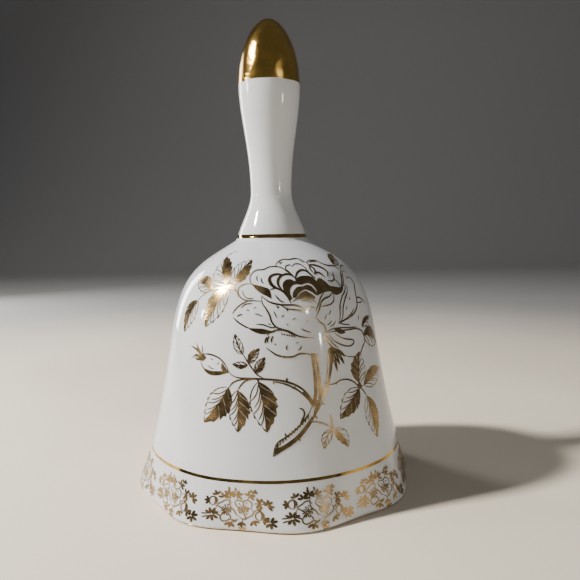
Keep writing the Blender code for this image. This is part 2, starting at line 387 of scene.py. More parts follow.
class Shade:
    """One output socket in a material's nodes. Arithmetic on it adds Math nodes."""

    def __init__(self, tree, socket=None):
        self.tree = tree
        self.socket = socket

    def node(self, kind, settings=None, inputs=None, output=0):
        """Add any node: its settings first, then the values or links of its sockets."""
        made = self.tree.nodes.new(kind)
        for name, value in (settings or {}).items():
            setattr(made, name, value)
        for name, value in (inputs or {}).items():
            if isinstance(value, Shade):
                self.tree.links.new(value.socket, made.inputs[name])
            else:
                made.inputs[name].default_value = value
        return Shade(self.tree, made.outputs[output])

    def _math(self, operation, first, second):
        return self.node("ShaderNodeMath", {"operation": operation}, {0: first, 1: second})

    def __add__(self, other):
        return self._math("ADD", self, other)

    def __radd__(self, other):
        return self._math("ADD", other, self)

    def __sub__(self, other):
        return self._math("SUBTRACT", self, other)

    def __rsub__(self, other):
        return self._math("SUBTRACT", other, self)

    def __mul__(self, other):
        return self._math("MULTIPLY", self, other)

    def __rmul__(self, other):
        return self._math("MULTIPLY", other, self)

    def step(self, low, high):
        """0 below low, 1 above high and a smooth rise between them."""
        return self.node("ShaderNodeMapRange", {"interpolation_type": "SMOOTHSTEP"},
                         {"Value": self, "From Min": low, "From Max": high})

    def noise(self, scale, detail=2.0, roughness=0.5):
        """Noise on a place, about one feature for each 1/scale metres."""
        return self.node("ShaderNodeTexNoise", None,
                         {"Vector": self, "Scale": scale, "Detail": detail, "Roughness": roughness})

    def blend(self, low, high):
        """A colour from low to high as this value goes from 0 to 1."""
        first, second = (tint if isinstance(tint, Shade) else (*tint, 1.0) for tint in (low, high))
        return self.node("ShaderNodeMix", {"data_type": "RGBA"}, {0: self, 6: first, 7: second}, output=2)

    def bump(self, strength, distance):
        """A surface raised by this value, up to a distance in metres."""
        return self.node("ShaderNodeBump", None, {"Strength": strength, "Distance": distance, "Height": self})


def new_finish(name):
    """An empty material, its shader node and the place on the piece, in metres."""
    material = bpy.data.materials.new(name)
    material.use_nodes = True
    shader = material.node_tree.nodes["Principled BSDF"]
    place = Shade(material.node_tree).node("ShaderNodeTexCoord", output="Object")
    return material, shader, place


def connect(shader, sockets):
    """Set or link the shader's own sockets."""
    for name, value in sockets.items():
        if isinstance(value, Shade):
            value.tree.links.new(value.socket, shader.inputs[name])
        else:
            shader.inputs[name].default_value = value


def tone(tint, factor):
    return tuple(min(part * factor, 1.0) for part in tint)


def porcelain_glaze():
    """Glossy cool-white glaze: faint clouding, a soft unevenness from casting, and rare pin-prick specks."""
    material, shader, place = new_finish("porcelain_glaze")
    tint = tuple(colours().glaze)
    cloud = place.noise(38.0, 3.0).step(0.35, 0.7)
    fleck = place.node("ShaderNodeTexVoronoi", None, {"Vector": place, "Scale": 420.0}, output="Distance")
    speck = (1 - fleck.step(0.05, 0.11)) * place.noise(95.0, 1.0).step(0.62, 0.7)
    body = cloud.blend(tone(tint, 0.965), tone(tint, 1.02))
    wave = place.noise(70.0, 1.5)
    peel = place.noise(900.0, 2.0)
    connect(shader, {
        "Base Color": (0.55 * speck).blend(body, (0.34, 0.28, 0.20)),
        "Roughness": 0.05 + 0.05 * place.noise(220.0, 3.0) + 0.25 * speck,
        "IOR": 1.53,
        "Subsurface Weight": 0.12,
        "Subsurface Radius": (1.0, 0.85, 0.7),
        "Subsurface Scale": 0.0025,
        "Normal": (wave + 0.012 * peel).bump(0.35, 0.0004),
    })
    return material


def mirror_gold():
    """Fired bright gold: mirror-like, with brush clouding and a fine grain."""
    material, shader, place = new_finish("mirror_gold")
    tint = tuple(colours().gold)
    cloud = place.noise(160.0, 4.0, 0.6).step(0.3, 0.72)
    grain = place.noise(1700.0, 3.0, 0.65)
    connect(shader, {
        "Base Color": cloud.blend(tone(tint, 0.85), tone(tint, 1.08)),
        "Metallic": 1.0,
        "Roughness": 0.04 + 0.08 * cloud + 0.09 * grain,
        "Normal": (grain + 1.5 * place.noise(420.0, 2.0)).bump(0.9, 0.00008),
    })
    return material


def line_gold():
    """Gold of the brushed lines: smooth, and deeper where the brush ran thin."""
    material, shader, place = new_finish("line_gold")
    tint = tuple(colours().gold)
    thin = place.noise(300.0, 3.0, 0.6).step(0.35, 0.65)
    connect(shader, {
        "Base Color": thin.blend(tone(tint, 0.62), tone(tint, 0.95)),
        "Metallic": 1.0,
        "Roughness": 0.05 + 0.07 * thin,
        "Normal": place.noise(1800.0, 2.0).bump(0.3, 0.00002),
    })
    return material


def printed_gold():
    """Gold of the printed flowers: thinner and browner, uneven where the ink lay thick or thin."""
    material, shader, place = new_finish("printed_gold")
    tint = tuple(colours().print_gold)
    patch = place.noise(240.0, 4.0, 0.6).step(0.3, 0.7)
    grain = place.noise(3400.0, 2.0)
    connect(shader, {
        "Base Color": patch.blend(tone(tint, 0.66), tone(tint, 1.12)),
        "Metallic": 1.0,
        "Roughness": 0.13 + 0.11 * patch + 0.08 * grain,
        "Normal": grain.bump(0.4, 0.00003),
    })
    return material


def brass_wire():
    """Drawn brass wire, dulled in patches."""
    material, shader, place = new_finish("brass_wire")
    tint = tuple(colours().brass)
    dull = place.noise(500.0, 4.0, 0.6).step(0.35, 0.7)
    connect(shader, {
        "Base Color": dull.blend(tint, tone(tint, 0.55)),
        "Metallic": 1.0,
        "Roughness": 0.24 + 0.28 * dull,
        "Normal": place.noise(2200.0, 3.0).bump(0.4, 0.00004),
    })
    return material


def cement_paste():
    """Cement paste: matt, grainy and spotted."""
    material, shader, place = new_finish("cement_paste")
    tint = tuple(colours().cement)
    patch = place.noise(420.0, 5.0, 0.65).step(0.3, 0.7)
    connect(shader, {
        "Base Color": patch.blend(tone(tint, 0.8), tone(tint, 1.12)),
        "Roughness": 0.8 + 0.15 * patch,
        "Normal": place.noise(1500.0, 5.0, 0.7).bump(0.8, 0.00012),
    })
    return material


def floor_paint_and_shade():
    """Matt pale paint, faintly patchy, with painted shade that greys it with distance from the bell, where
    the lamps light it less.
    """
    material, shader, place = new_finish("floor_paint_and_shade")
    tint = tuple(colours().floor)
    patch = place.noise(9.0, 4.0).step(0.3, 0.7)
    distance = place.node("ShaderNodeVectorMath", {"operation": "LENGTH"}, {0: place}, output="Value")
    paint = patch.blend(tone(tint, 0.97), tone(tint, 1.03))
    connect(shader, {
        # painted shade: the floor and its sweep turn grey away from the bell, standing in for the lamps'
        # light falling off
        "Base Color": distance.step(0.17, 0.55).blend(paint, (0.46, 0.45, 0.44)),
        "Roughness": 0.55 + 0.1 * patch,
    })
    return material


def finish_of(maker):
    """The material a maker makes, made once."""
    name = maker.__name__
    return bpy.data.materials.get(name) or maker()


# ---------------------------------------------------------------- the drawing in gold

def smooth(points, step=0.5):
    """Points every step millimetres or so along a smooth curve through the given ones."""
    ends = [points[0], *points, points[-1]]
    line = [points[0]]
    for a, b, c, d in zip(ends, ends[1:], ends[2:], ends[3:]):
        count = max(2, round(math.dist(b, c) / step))
        for i in range(1, count + 1):
            t = i / count
            line.append(tuple(0.5 * (2 * q + (r - p) * t + (2 * p - 5 * q + 4 * r - s) * t * t
                                     + (3 * q - p - 3 * r + s) * t ** 3)
                              for p, q, r, s in zip(a, b, c, d)))
    return line


def spread(line, count):
    """The same line with count points evenly along it."""
    reach = [0.0]
    for a, b in zip(line, line[1:]):
        reach.append(reach[-1] + math.dist(a, b))
    points = []
    for i in range(count):
        want = reach[-1] * i / (count - 1)
        k = min(max(bisect.bisect(reach, want) - 1, 0), len(line) - 2)
        share = (want - reach[k]) / max(reach[k + 1] - reach[k], 1e-9)
        points.append(tuple(a + (b - a) * share for a, b in zip(line[k], line[k + 1])))
    return points


class Drawing:
    """A flat drawing in gold, made of strips between two lines, in millimetres."""
    LEVEL, LEVELS = 0.001, 6
    LINE_LEVEL = LEVEL * LEVELS
    DAB = ((0.0, 0.16), (0.25, 0.36), (0.55, 0.5), (0.82, 0.42), (0.95, 0.25), (1.0, 0.08))

    def __init__(self, weight=1.0):
        self.weight = weight
        self.points = []
        self.faces = []
        self.strips = 0

    def strip(self, left, right, across=1):
        """Fill between two lines with the same number of points."""
        shares = [i / across for i in range(across + 1)]
        rows = [[(a[0] + (b[0] - a[0]) * share, a[1] + (b[1] - a[1]) * share) for share in shares]
                for a, b in zip(left, right)]
        self.patch(rows, self.LINE_LEVEL if across == 1 else 0.0)

    def patch(self, rows, level=0.0):
        """Fill between rows of points, each with as many. Neighbours in the drawing never share a level, so
        that they can cross."""
        level += self.LEVEL * (self.strips % self.LEVELS)
        self.strips += 1
        first, wide = len(self.points), len(rows[0])
        for row in rows:
            self.points.extend((x, y, level) for x, y in row)
        for j in range(len(rows) - 1):
            for i in range(wide - 1):
                corner = first + j * wide + i
                self.faces.append((corner, corner + wide, corner + wide + 1, corner + 1))

    def line(self, points, width, start=0.35, end=0.35):
        """A pen line that thins towards its ends to those shares of its width."""
        path = smooth(points)
        count, taper = len(path), 4
        left, right = [], []
        for i, (x, y) in enumerate(path):
            before, after = path[max(i - 1, 0)], path[min(i + 1, count - 1)]
            run, rise = after[0] - before[0], after[1] - before[1]
            reach = math.hypot(run, rise) or 1.0
            t = i / (count - 1)
            swell = min(1.0, start + (1 - start) * t * taper, end + (1 - end) * (1 - t) * taper)
            half = self.weight * width * swell / 2
            left.append((x - rise / reach * half, y + run / reach * half))
            right.append((x + rise / reach * half, y - run / reach * half))
        self.strip(left, right)

    def fill(self, one_edge, other_edge):
        """Solid gold between two smooth edges that run the same way."""
        one, other = smooth(one_edge), smooth(other_edge)
        count = max(len(one), len(other))
        one, other = spread(one, count), spread(other, count)
        widest = max(math.dist(a, b) for a, b in zip(one, other))
        cell = 1.2
        self.strip(one, other, max(2, math.ceil(widest / cell)))

    def dab(self, x, y, direction, reach, width):
        """A short brush stroke from a place in a direction, in degrees: a petal or a small leaf."""
        a = math.radians(direction)
        u, v = (math.cos(a), math.sin(a)), (-math.sin(a), math.cos(a))
        left, right = [], []
        for t, half in self.DAB:
            for side, line in ((1, left), (-1, right)):
                line.append((x + u[0] * reach * t + side * v[0] * half * width,
                             y + u[1] * reach * t + side * v[1] * half * width))
        self.strip(left, right)

    def star(self, x, y, directions, reach, width=0.55, gap=0.25):
        """Dabs round a point, each a little longer and wider than a dab of its own."""
        longer, wider = 1.15, 1.2
        for d in directions:
            a = math.radians(d)
            self.dab(x + gap * math.cos(a), y + gap * math.sin(a), d, longer * reach, wider * width)

    def leaf(self, base, tip, width, solid=1, bow=0.0, teeth=6, veins=6, pen=0.34, fine=False):
        """A toothed leaf: one half solid gold and the other an outline with veins. solid is 1 for the
        left half seen from the base, -1 for the right and 0 for neither; bow bends the midrib to the left."""
        lean, smooth_base, tooth_depth, rows_for_tooth, midrib, bare_vein = 0.24, 0.3, 0.09, 5, 0.06, 0.055
        run, rise = tip[0] - base[0], tip[1] - base[1]
        reach = math.hypot(run, rise)
        u, v = (run / reach, rise / reach), (-rise / reach, run / reach)

        def on(t, side):
            """A point at t along the leaf and side millimetres to the left of its midrib."""
            bend = bow * reach * 4 * t * (1 - t)
            return (base[0] + u[0] * reach * t + v[0] * (bend + side),
                    base[1] + u[1] * reach * t + v[1] * (bend + side))

        def half(t):
            return width / 2 * math.sin(math.pi * t ** 0.82) ** 0.85 if 0 < t < 1 else 0.0

        def edge(t, side):
            notch = (t * teeth) % 1.0 if t > smooth_base else 0.5
            tooth = tooth_depth * width * (notch - 0.5) * min(1.0, half(t) / (0.2 * width))
            return on(t, side * (half(t) + (tooth if 0 < t < 0.98 else 0.0)))

        def across(t, side, share):
            """A point share of the way from the midrib at t to the edge, which lies lean further along."""
            if t + lean * share <= 0:
                return on(0.0, side * midrib)
            along = min(t + lean * share, 1.0)
            root, rim = on(along, side * midrib), edge(along, side)
            return tuple(a + (b - a) * share for a, b in zip(root, rim))

        def solid_half(side):
            """Solid cells between the side veins, which stay bare as thin gaps."""
            cells, gap = max(2, round(0.7 * veins)), bare_vein / reach
            starts = [-lean] + [0.04 + 0.86 * k / cells for k in range(cells)] + [1.0]
            for low, high in zip(starts, starts[1:]):
                count = max(2, round((high - low) * teeth * rows_for_tooth))
                cuts = [low + gap + (high - low - 2 * gap) * i / count for i in range(count + 1)]
                self.patch([[across(t, side, i / 4) for i in range(5)] for t in cuts])

        def open_half(side):
            """An outline with veins that are long and short in turn."""
            rows = rows_for_tooth * teeth
            steps = [i / rows for i in range(rows + 1)]
            self.strip([edge(t, side) for t in steps], [on(t, side * max(half(t) - pen, 0.0)) for t in steps])
            for k in range(veins):
                t = 0.04 + 0.74 * k / veins
                out = min(t + 0.32, 0.97)
                end = half(out) * (0.72 if k % 2 else 0.92)
                self.line([on(t, 0.0), on(t + 0.62 * (out - t), side * end * 0.42), on(out, side * end)],
                          pen * (0.7 if fine else 0.85), 1.0, 0.3)

        for side in (1, -1):
            if side == solid:
                solid_half(side)
            else:
                open_half(side)
        self.line([on(t, 0.0) for t in (0.0, 0.3, 0.6, 0.85, 1.0)], pen * (0.9 if solid else 1.0), 1.0, 0.3)

    def thorn(self, x, y, direction, size):
        """A dab half as wide as it is long."""
        self.dab(x, y, direction, size, 0.5 * size)

    def flat_piece(self, name):
        """The drawing as a flat mesh in metres."""
        data = bpy.data.meshes.new(name)
        data.from_pydata([(x * MM, y * MM, z * MM) for x, y, z in self.points], [], self.faces)
        piece = bpy.data.objects.new(name, data)
        bpy.context.scene.collection.objects.link(piece)
        return piece


def lay_on_wall(piece, wall, shift=0.0):
    """Bend a flat drawing round the bell, give it its thickness and finish it."""
    g = gold()
    for vertex in piece.data.vertices:
        x, y, z = vertex.co
        vertex.co = wall.lay(x + shift, y, g.lift + z)
    select_only(piece)
    depth = piece.modifiers.new("depth", "SOLIDIFY")
    depth.thickness = g.print_depth
    depth.offset = -1.0
    bpy.ops.object.modifier_apply(modifier=depth.name)
    bpy.ops.object.shade_smooth_by_angle(angle=math.radians(50))
    return finish_piece(piece, finish_of(printed_gold), "bell", "bright_gold")


# ---------------------------------------------------------------- the drawings

def draw_spray():
    """One spray of small flowers for the rim, 17 mm wide."""
    d = Drawing()
    pen = 0.30
    # two open flowers in outline, with stamens
    d.line([(4.0, 6.0), (3.8, 5.0), (4.3, 4.2), (5.0, 3.9), (5.1, 3.1), (5.7, 2.6), (6.5, 2.8), (7.3, 3.2),
            (8.2, 3.0), (9.0, 3.4)], 0.34)
    d.line([(4.0, 6.0), (4.4, 6.8), (5.2, 7.3), (6.0, 7.9), (6.9, 7.8), (7.4, 7.0)], pen)
    d.line([(6.9, 7.8), (6.9, 6.9), (7.3, 6.1), (8.0, 5.4), (8.4, 4.5), (9.0, 4.1)], pen)
    d.line([(5.0, 3.9), (5.5, 4.4), (5.9, 4.9)], pen)
    d.line([(7.3, 3.2), (7.2, 3.9), (6.9, 4.4)], pen)
    d.line([(4.2, 6.3), (4.9, 6.0), (5.5, 5.7)], pen)
    for x, y in ((5.3, 5.2), (5.8, 4.4), (6.5, 4.1), (6.9, 4.9), (6.3, 6.6), (5.7, 6.4), (7.0, 5.7)):
        d.dab(x, y, 40, 0.5, 0.30)
    d.star(6.2, 5.3, range(10, 370, 30), 1.0, 0.20, 0.15)
    d.line([(8.0, 7.7), (8.9, 8.0), (9.9, 7.8), (10.7, 8.2), (11.6, 7.8), (11.9, 6.9), (11.6, 6.2)], pen)
    d.line([(8.0, 7.7), (8.3, 6.8), (8.9, 6.1), (9.6, 5.7)], pen)
    d.line([(11.6, 6.2), (12.2, 5.4), (12.0, 4.5), (11.2, 4.0), (10.5, 3.4), (9.7, 3.5), (9.0, 4.1)], pen)
    d.line([(9.9, 7.8), (10.0, 7.1), (9.9, 6.5)], pen)
    d.line([(11.6, 6.2), (10.9, 6.1), (10.4, 5.9)], pen)
    d.line([(10.5, 3.4), (10.4, 4.2), (10.2, 4.8)], pen)
    for x, y in ((9.2, 6.9), (10.8, 7.2), (11.1, 5.2), (9.3, 4.7), (10.9, 4.5), (9.0, 5.3)):
        d.dab(x, y, 120, 0.5, 0.30)
    d.star(10.0, 5.8, range(0, 360, 30), 1.0, 0.20, 0.15)
    # buds, one on the left and one on the lower right
    for x, y in ((3.2, 7.4), (13.6, 4.4)):
        d.line([(x + math.cos(a) * 0.95, y + math.sin(a) * 1.05) for a in
                (math.radians(k) for k in range(-60, 301, 40))], pen)
        d.fill([(x + 0.15, y - 0.8), (x + 0.30, y), (x + 0.15, y + 0.8)],
               [(x + 0.30, y - 0.9), (x + 0.85, y), (x + 0.30, y + 0.9)])
    d.star(2.3, 7.4, (130, 180, 232), 1.0, 0.5, 0.1)
    d.star(14.4, 3.7, (-75, -30, 15), 1.1, 0.55, 0.1)
    # leaf sprigs round the outside
    d.star(3.1, 4.1, (25, 68, 112, 152, -125, -78, -32), 1.25, 0.55, 0.25)
    d.dab(2.7, 4.25, 186, 2.0, 0.34)
    d.dab(2.7, 3.75, 200, 1.8, 0.32)
    d.star(4.0, 9.0, (55, 118, 175), 1.0, 0.5, 0.05)
    d.star(5.6, 8.5, (60, 120, 175, 10), 1.05, 0.5, 0.1)
    d.line([(6.9, 7.9), (7.0, 9.0), (6.7, 10.2)], 0.24)
    d.star(6.8, 9.4, (100, 150, 35, 205, -25), 1.15, 0.5, 0.1)
    d.dab(6.7, 10.3, 95, 1.0, 0.48)
    d.line([(8.5, 8.0), (8.6, 9.2), (8.2, 10.2)], 0.24)
    d.star(8.6, 9.2, (25, 75, 160, -40), 1.1, 0.5, 0.1)
    d.dab(8.2, 10.2, 100, 1.0, 0.48)
    d.line([(10.8, 8.3), (11.4, 9.2), (12.2, 10.1)], 0.24)
    d.star(11.3, 9.2, (150, 100, 10, -40), 1.1, 0.48, 0.1)
    d.star(12.1, 10.0, (60, 130, 15), 0.9, 0.45, 0.05)
    d.line([(12.2, 7.3), (13.6, 7.5), (15.0, 7.0)], 0.24)
    d.star(13.4, 7.5, (60, 110, -65, -110), 1.15, 0.52, 0.1)
    d.star(15.2, 7.0, (85, 45, -10, -45, 130), 1.25, 0.52, 0.15)
    d.line([(12.0, 5.0), (12.6, 5.6), (13.2, 6.0)], 0.24)
    d.star(13.1, 5.9, (20, -30), 0.9, 0.45, 0.05)
    d.line([(14.6, 4.2), (15.6, 3.5), (16.2, 2.8)], 0.26)
    d.star(16.0, 2.9, (70, 25, -35, -85, -135), 1.2, 0.55, 0.15)
    d.star(7.3, 2.5, (-100, -55, -150, 20), 1.2, 0.52, 0.1)
    d.star(9.7, 2.7, (-130, -90, -45), 1.05, 0.5, 0.1)
    d.star(12.2, 3.2, (-60, -110, -15), 1.15, 0.5, 0.15)
    d.line([(9.9, 3.4), (9.8, 2.2), (9.9, 1.2)], 0.22)
    d.star(9.9, 1.2, (180, 0, -130, -50), 0.7, 0.4, 0.05)
    return d


def draw_rose():
    """The open rose: outlined petals round a solid gold heart."""
    d = Drawing(1.45)
    pen = 0.30
    # heart: nested solid bands with thin white arcs between
    d.fill([(5.3, 59.4), (4.0, 61.2), (3.2, 63.0), (3.5, 64.7), (5.0, 65.6), (6.6, 65.5), (7.6, 64.9),
            (8.5, 65.9), (10.0, 66.5), (12.0, 66.6), (14.0, 66.3), (15.2, 65.4), (15.8, 64.4)],
           [(6.0, 59.9), (5.5, 61.2), (5.6, 62.6), (6.6, 63.7), (8.0, 64.0), (9.2, 63.8), (10.0, 63.8),
            (11.0, 64.1), (12.2, 64.2), (13.4, 63.7), (14.2, 62.8), (14.6, 62.0), (14.8, 61.4)])
    d.fill([(6.2, 60.0), (6.2, 61.2), (7.0, 62.4), (8.2, 63.2), (9.4, 63.3), (10.2, 63.3), (11.2, 63.6),
            (12.4, 63.6), (13.4, 63.0), (14.1, 62.0), (14.6, 60.9)],
           [(7.4, 60.1), (7.9, 60.9), (8.8, 61.6), (9.8, 62.1), (10.6, 62.3), (11.6, 62.1), (12.6, 61.6),
            (13.4, 61.0), (14.0, 60.5)])
    d.fill([(7.6, 60.1), (8.6, 61.1), (9.6, 61.6), (10.8, 61.9), (12.2, 61.2), (13.6, 60.2)],
           [(7.6, 60.0), (9.0, 60.2), (10.4, 60.2), (11.6, 60.0), (12.6, 59.7), (13.4, 59.3)])
    d.fill([(14.6, 61.6), (15.4, 63.6), (16.2, 65.2), (17.4, 65.6), (18.6, 65.0), (19.6, 64.0), (20.2, 63.2),
            (21.2, 62.8), (22.6, 62.6), (24.0, 62.3), (25.8, 62.3), (27.2, 63.4)],
           [(14.2, 60.3), (15.2, 60.6), (16.4, 60.9), (17.8, 61.2), (19.0, 61.3), (20.2, 61.2), (21.0, 60.5),
            (22.0, 60.1), (23.2, 60.2), (24.4, 60.5), (25.4, 60.9), (26.4, 61.8)])
    # curled rims of the petals round the heart, drawn thick
    d.fill([(2.4, 62.6), (1.4, 63.8), (1.2, 65.2), (2.0, 66.6), (3.4, 67.4), (5.2, 67.7), (6.8, 67.2),
            (7.9, 66.3)],
           [(3.0, 62.6), (2.2, 63.9), (2.2, 65.2), (2.9, 66.2), (4.0, 66.8), (5.4, 66.9), (6.7, 66.6),
            (7.6, 65.9)])
    d.fill([(2.6, 62.3), (0.2, 62.9), (-1.3, 64.2), (-1.8, 65.8), (-1.0, 67.1), (0.6, 67.7), (2.4, 67.7),
            (3.8, 67.2)],
           [(2.6, 62.7), (0.8, 63.6), (-0.2, 64.6), (-0.7, 65.8), (-0.2, 66.5), (0.9, 66.9), (2.2, 67.0),
            (3.4, 66.9)])
    d.fill([(7.7, 65.4), (8.2, 66.9), (9.4, 68.3), (11.2, 69.0), (13.0, 68.7), (14.3, 67.6), (15.1, 66.5),
            (15.8, 65.8)],
           [(8.1, 65.4), (8.8, 66.7), (9.9, 67.7), (11.2, 68.2), (12.6, 68.0), (13.7, 67.1), (14.5, 66.2),
            (15.5, 65.4)])
    d.line([(15.9, 66.8), (16.9, 67.8), (16.9, 69.0), (15.9, 70.3)], 0.5)
    d.line([(15.6, 70.5), (17.2, 70.5), (19.5, 69.9), (21.6, 68.8), (22.4, 67.4), (21.4, 65.9)], 0.55)
    d.line([(15.8, 66.9), (17.4, 67.5), (18.8, 67.1), (19.9, 65.8)], 0.5)
    d.line([(5.3, 59.3), (4.4, 60.6), (3.0, 62.3), (1.6, 62.9)], 0.36)
    # petals behind
    d.line([(1.1, 70.1), (1.6, 71.4), (2.9, 72.5), (5.0, 73.2), (7.4, 73.0), (9.4, 73.3), (11.6, 73.3),
            (13.6, 72.6), (15.1, 71.4)], 0.36)
    d.line([(15.1, 71.4), (16.8, 72.3), (19.0, 72.4), (21.2, 72.0), (22.6, 70.9), (25.2, 69.9), (28.4, 69.7),
            (30.4, 68.6), (31.4, 66.9)], 0.36)
    d.line([(15.1, 71.4), (15.6, 70.2), (15.2, 68.8), (15.8, 67.4)], 0.4)
    d.line([(7.4, 66.5), (5.6, 68.0), (3.6, 69.6), (1.2, 70.2), (-1.6, 70.0), (-3.6, 69.1), (-6.2, 68.9),
            (-7.9, 67.7), (-8.3, 66.1), (-7.6, 64.6), (-6.4, 64.0)], 0.34)
    d.line([(7.5, 66.7), (6.2, 68.0), (5.0, 69.2), (5.6, 70.4), (7.3, 70.7), (8.0, 69.9)], pen)
    d.line([(8.0, 70.1), (9.2, 71.0), (11.2, 71.0), (12.9, 69.9), (13.6, 68.3), (14.6, 66.7)], pen)
    d.line([(3.0, 70.9), (3.4, 71.6), (4.4, 72.1)], 0.22)
    d.line([(2.6, 71.4), (3.3, 72.2)], 0.2)
    d.line([(12.2, 72.4), (13.2, 72.0), (14.3, 71.6)], 0.24)
    d.line([(16.4, 71.5), (18.4, 71.9), (20.6, 71.6)], 0.24)
    d.line([(-5.7, 67.0), (-5.8, 66.0), (-5.3, 65.2)], 0.26)
    d.line([(-4.2, 66.2), (-3.9, 65.1), (-3.2, 64.4)], 0.26)
    # right side, petals seen from the edge
    d.line([(25.4, 67.5), (24.6, 66.0), (23.9, 64.9), (22.4, 64.3), (20.6, 64.6)], 0.36)
    d.line([(23.9, 64.9), (25.0, 63.8), (25.4, 62.2)], 0.26)
    d.line([(23.3, 67.4), (23.9, 66.6), (24.1, 65.8)], 0.2)
    d.line([(25.4, 61.9), (27.2, 63.6), (28.8, 65.6), (30.6, 67.4)], 0.36)
    d.line([(26.2, 62.0), (28.0, 63.4), (29.8, 65.6), (31.2, 66.8)], 0.24)
    d.line([(31.4, 67.4), (33.2, 68.8), (35.8, 69.4), (38.4, 69.2)], 0.3)
    d.line([(31.2, 67.0), (33.2, 67.2), (34.4, 66.5)], 0.24)
    d.line([(21.2, 52.4), (22.6, 54.0), (23.6, 56.4), (25.4, 58.6), (27.6, 60.4), (29.2, 62.4)], 0.3)
    d.line([(20.6, 52.2), (21.6, 54.4), (22.4, 57.0), (24.4, 59.4), (26.8, 61.0), (28.6, 63.0)], 0.3)
    d.line([(20.6, 52.2), (23.4, 52.9), (26.2, 53.6), (29.0, 54.7), (31.2, 56.4), (32.2, 58.6), (33.6, 61.2),
            (35.2, 62.9), (34.6, 64.6), (32.6, 65.0), (31.0, 64.6)], 0.34)
    d.line([(31.8, 58.2), (34.0, 58.5), (36.4, 57.6), (38.4, 56.2)], 0.28)
    d.line([(31.6, 57.2), (33.8, 56.9), (35.8, 57.2)], 0.22)
    # turned petal in the middle
    d.line([(12.6, 54.2), (14.2, 56.4), (15.4, 58.4), (17.0, 59.4), (19.0, 59.9), (20.6, 60.8)], 0.34)
    d.line([(13.0, 56.0), (14.2, 57.8), (15.6, 59.8), (17.2, 61.0)], pen)
    d.line([(15.2, 57.2), (17.2, 57.4), (19.2, 57.8), (20.6, 59.0), (20.8, 60.6)], 0.26)
    d.line([(16.2, 52.1), (17.2, 52.5), (18.0, 53.2)], 0.2)
    d.line([(17.0, 51.6), (18.4, 52.0), (19.4, 52.9)], 0.2)
    d.line([(22.0, 57.0), (22.8, 56.2)], 0.2)
    for x, y, lean in ((15.6, 53.6, 1.3), (17.4, 54.8, 1.2), (2.2, 55.0, 0.5), (9.4, 53.4, 0.3),
                       (5.6, 54.2, 0.4), (-8.2, 57.0, -0.2), (24.6, 55.6, 0.9), (27.4, 58.2, 0.8),
                       (29.6, 52.2, 1.2), (6.0, 47.9, 0.3)):
        d.line([(x, y), (x + 0.5, y + 0.5 * lean), (x + 0.9, y + 1.1 * lean)], 0.18)
    # petals in front, with their folded edges
    d.line([(0.6, 63.0), (2.6, 62.2), (4.2, 60.8), (5.4, 58.6)], pen)
    d.line([(0.5, 61.2), (1.5, 59.9), (2.8, 58.9)], 0.24)
    d.line([(1.1, 60.6), (2.2, 59.4), (3.4, 58.9)], 0.18)
    d.line([(5.9, 59.0), (7.6, 59.8), (10.2, 59.9), (12.4, 59.4), (13.6, 58.2)], pen)
    d.line([(8.6, 59.2), (10.6, 59.2), (12.4, 58.6)], 0.22)
    d.line([(-3.8, 60.9), (-1.6, 59.3), (1.0, 58.5), (3.6, 58.2), (6.4, 58.1), (8.6, 57.4), (10.4, 56.6)],
           0.34)
    d.line([(2.0, 58.3), (4.0, 57.2), (6.6, 56.8), (8.8, 56.4), (10.2, 56.2)], 0.26)
    d.dab(4.0, 57.4, -80, 0.9, 0.6)
    d.line([(1.0, 58.2), (1.3, 57.4), (1.7, 57.9)], 0.24)
    d.line([(10.4, 56.6), (11.4, 57.4), (13.0, 57.0)], 0.26)
    d.line([(-3.7, 60.6), (-3.4, 58.8), (-2.2, 57.2), (-1.2, 55.6), (-0.6, 53.8), (0.6, 52.4), (2.4, 51.7),
            (4.4, 51.1), (6.6, 49.9), (9.0, 49.3), (11.6, 49.0)], 0.34)
    d.line([(0.1, 56.6), (0.5, 55.6), (0.9, 54.9)], 0.2)
    d.line([(3.6, 53.2), (4.2, 52.6)], 0.2)
    d.line([(7.8, 51.7), (9.2, 51.0), (10.8, 50.5)], 0.24)
    d.line([(12.9, 54.2), (13.9, 53.0), (15.1, 52.2), (15.5, 50.6), (14.8, 49.4)], 0.3)
    # side petals on the left
    d.fill([(-7.4, 64.4), (-5.2, 63.9), (-3.0, 63.4), (-1.2, 62.6), (-0.5, 60.4)],
           [(-7.2, 64.1), (-5.4, 62.5), (-3.8, 61.5), (-2.2, 60.8), (-0.6, 60.0)])
    d.line([(-7.2, 64.3), (-9.4, 64.3), (-11.4, 63.4), (-11.6, 61.8), (-10.4, 60.3), (-8.4, 59.5),
            (-6.0, 59.5), (-3.8, 59.3)], pen)
    d.line([(-10.3, 62.4), (-9.4, 60.9), (-8.0, 60.1), (-6.2, 60.2)], 0.22)
    d.line([(-1.0, 62.6), (0.8, 63.0)], 0.24)
    d.line([(-8.0, 59.3), (-9.8, 58.6), (-11.6, 57.2), (-12.5, 55.8)], pen)
    d.line([(-10.0, 57.4), (-8.6, 58.5), (-6.4, 58.7)], 0.24)
    d.line([(-12.2, 54.9), (-10.4, 53.6), (-8.4, 52.6), (-6.6, 51.9)], pen)
    d.fill([(-7.4, 52.2), (-5.4, 52.1), (-3.2, 52.0), (-1.2, 51.5), (0.4, 51.3)],
           [(-7.4, 52.1), (-5.8, 51.2), (-3.8, 50.6), (-1.8, 50.6), (0.4, 51.1)])
    d.line([(-11.0, 55.1), (-10.2, 55.6), (-9.3, 55.7)], 0.26)
    d.line([(-6.1, 57.6), (-5.2, 57.5)], 0.22)
    d.line([(-5.6, 56.0), (-4.4, 55.7), (-3.2, 55.2)], 0.2)
    d.line([(-5.2, 53.2), (-3.0, 53.0), (-0.8, 52.3), (1.2, 52.4)], 0.24)
    d.line([(-1.6, 53.4), (-0.8, 52.9)], 0.22)
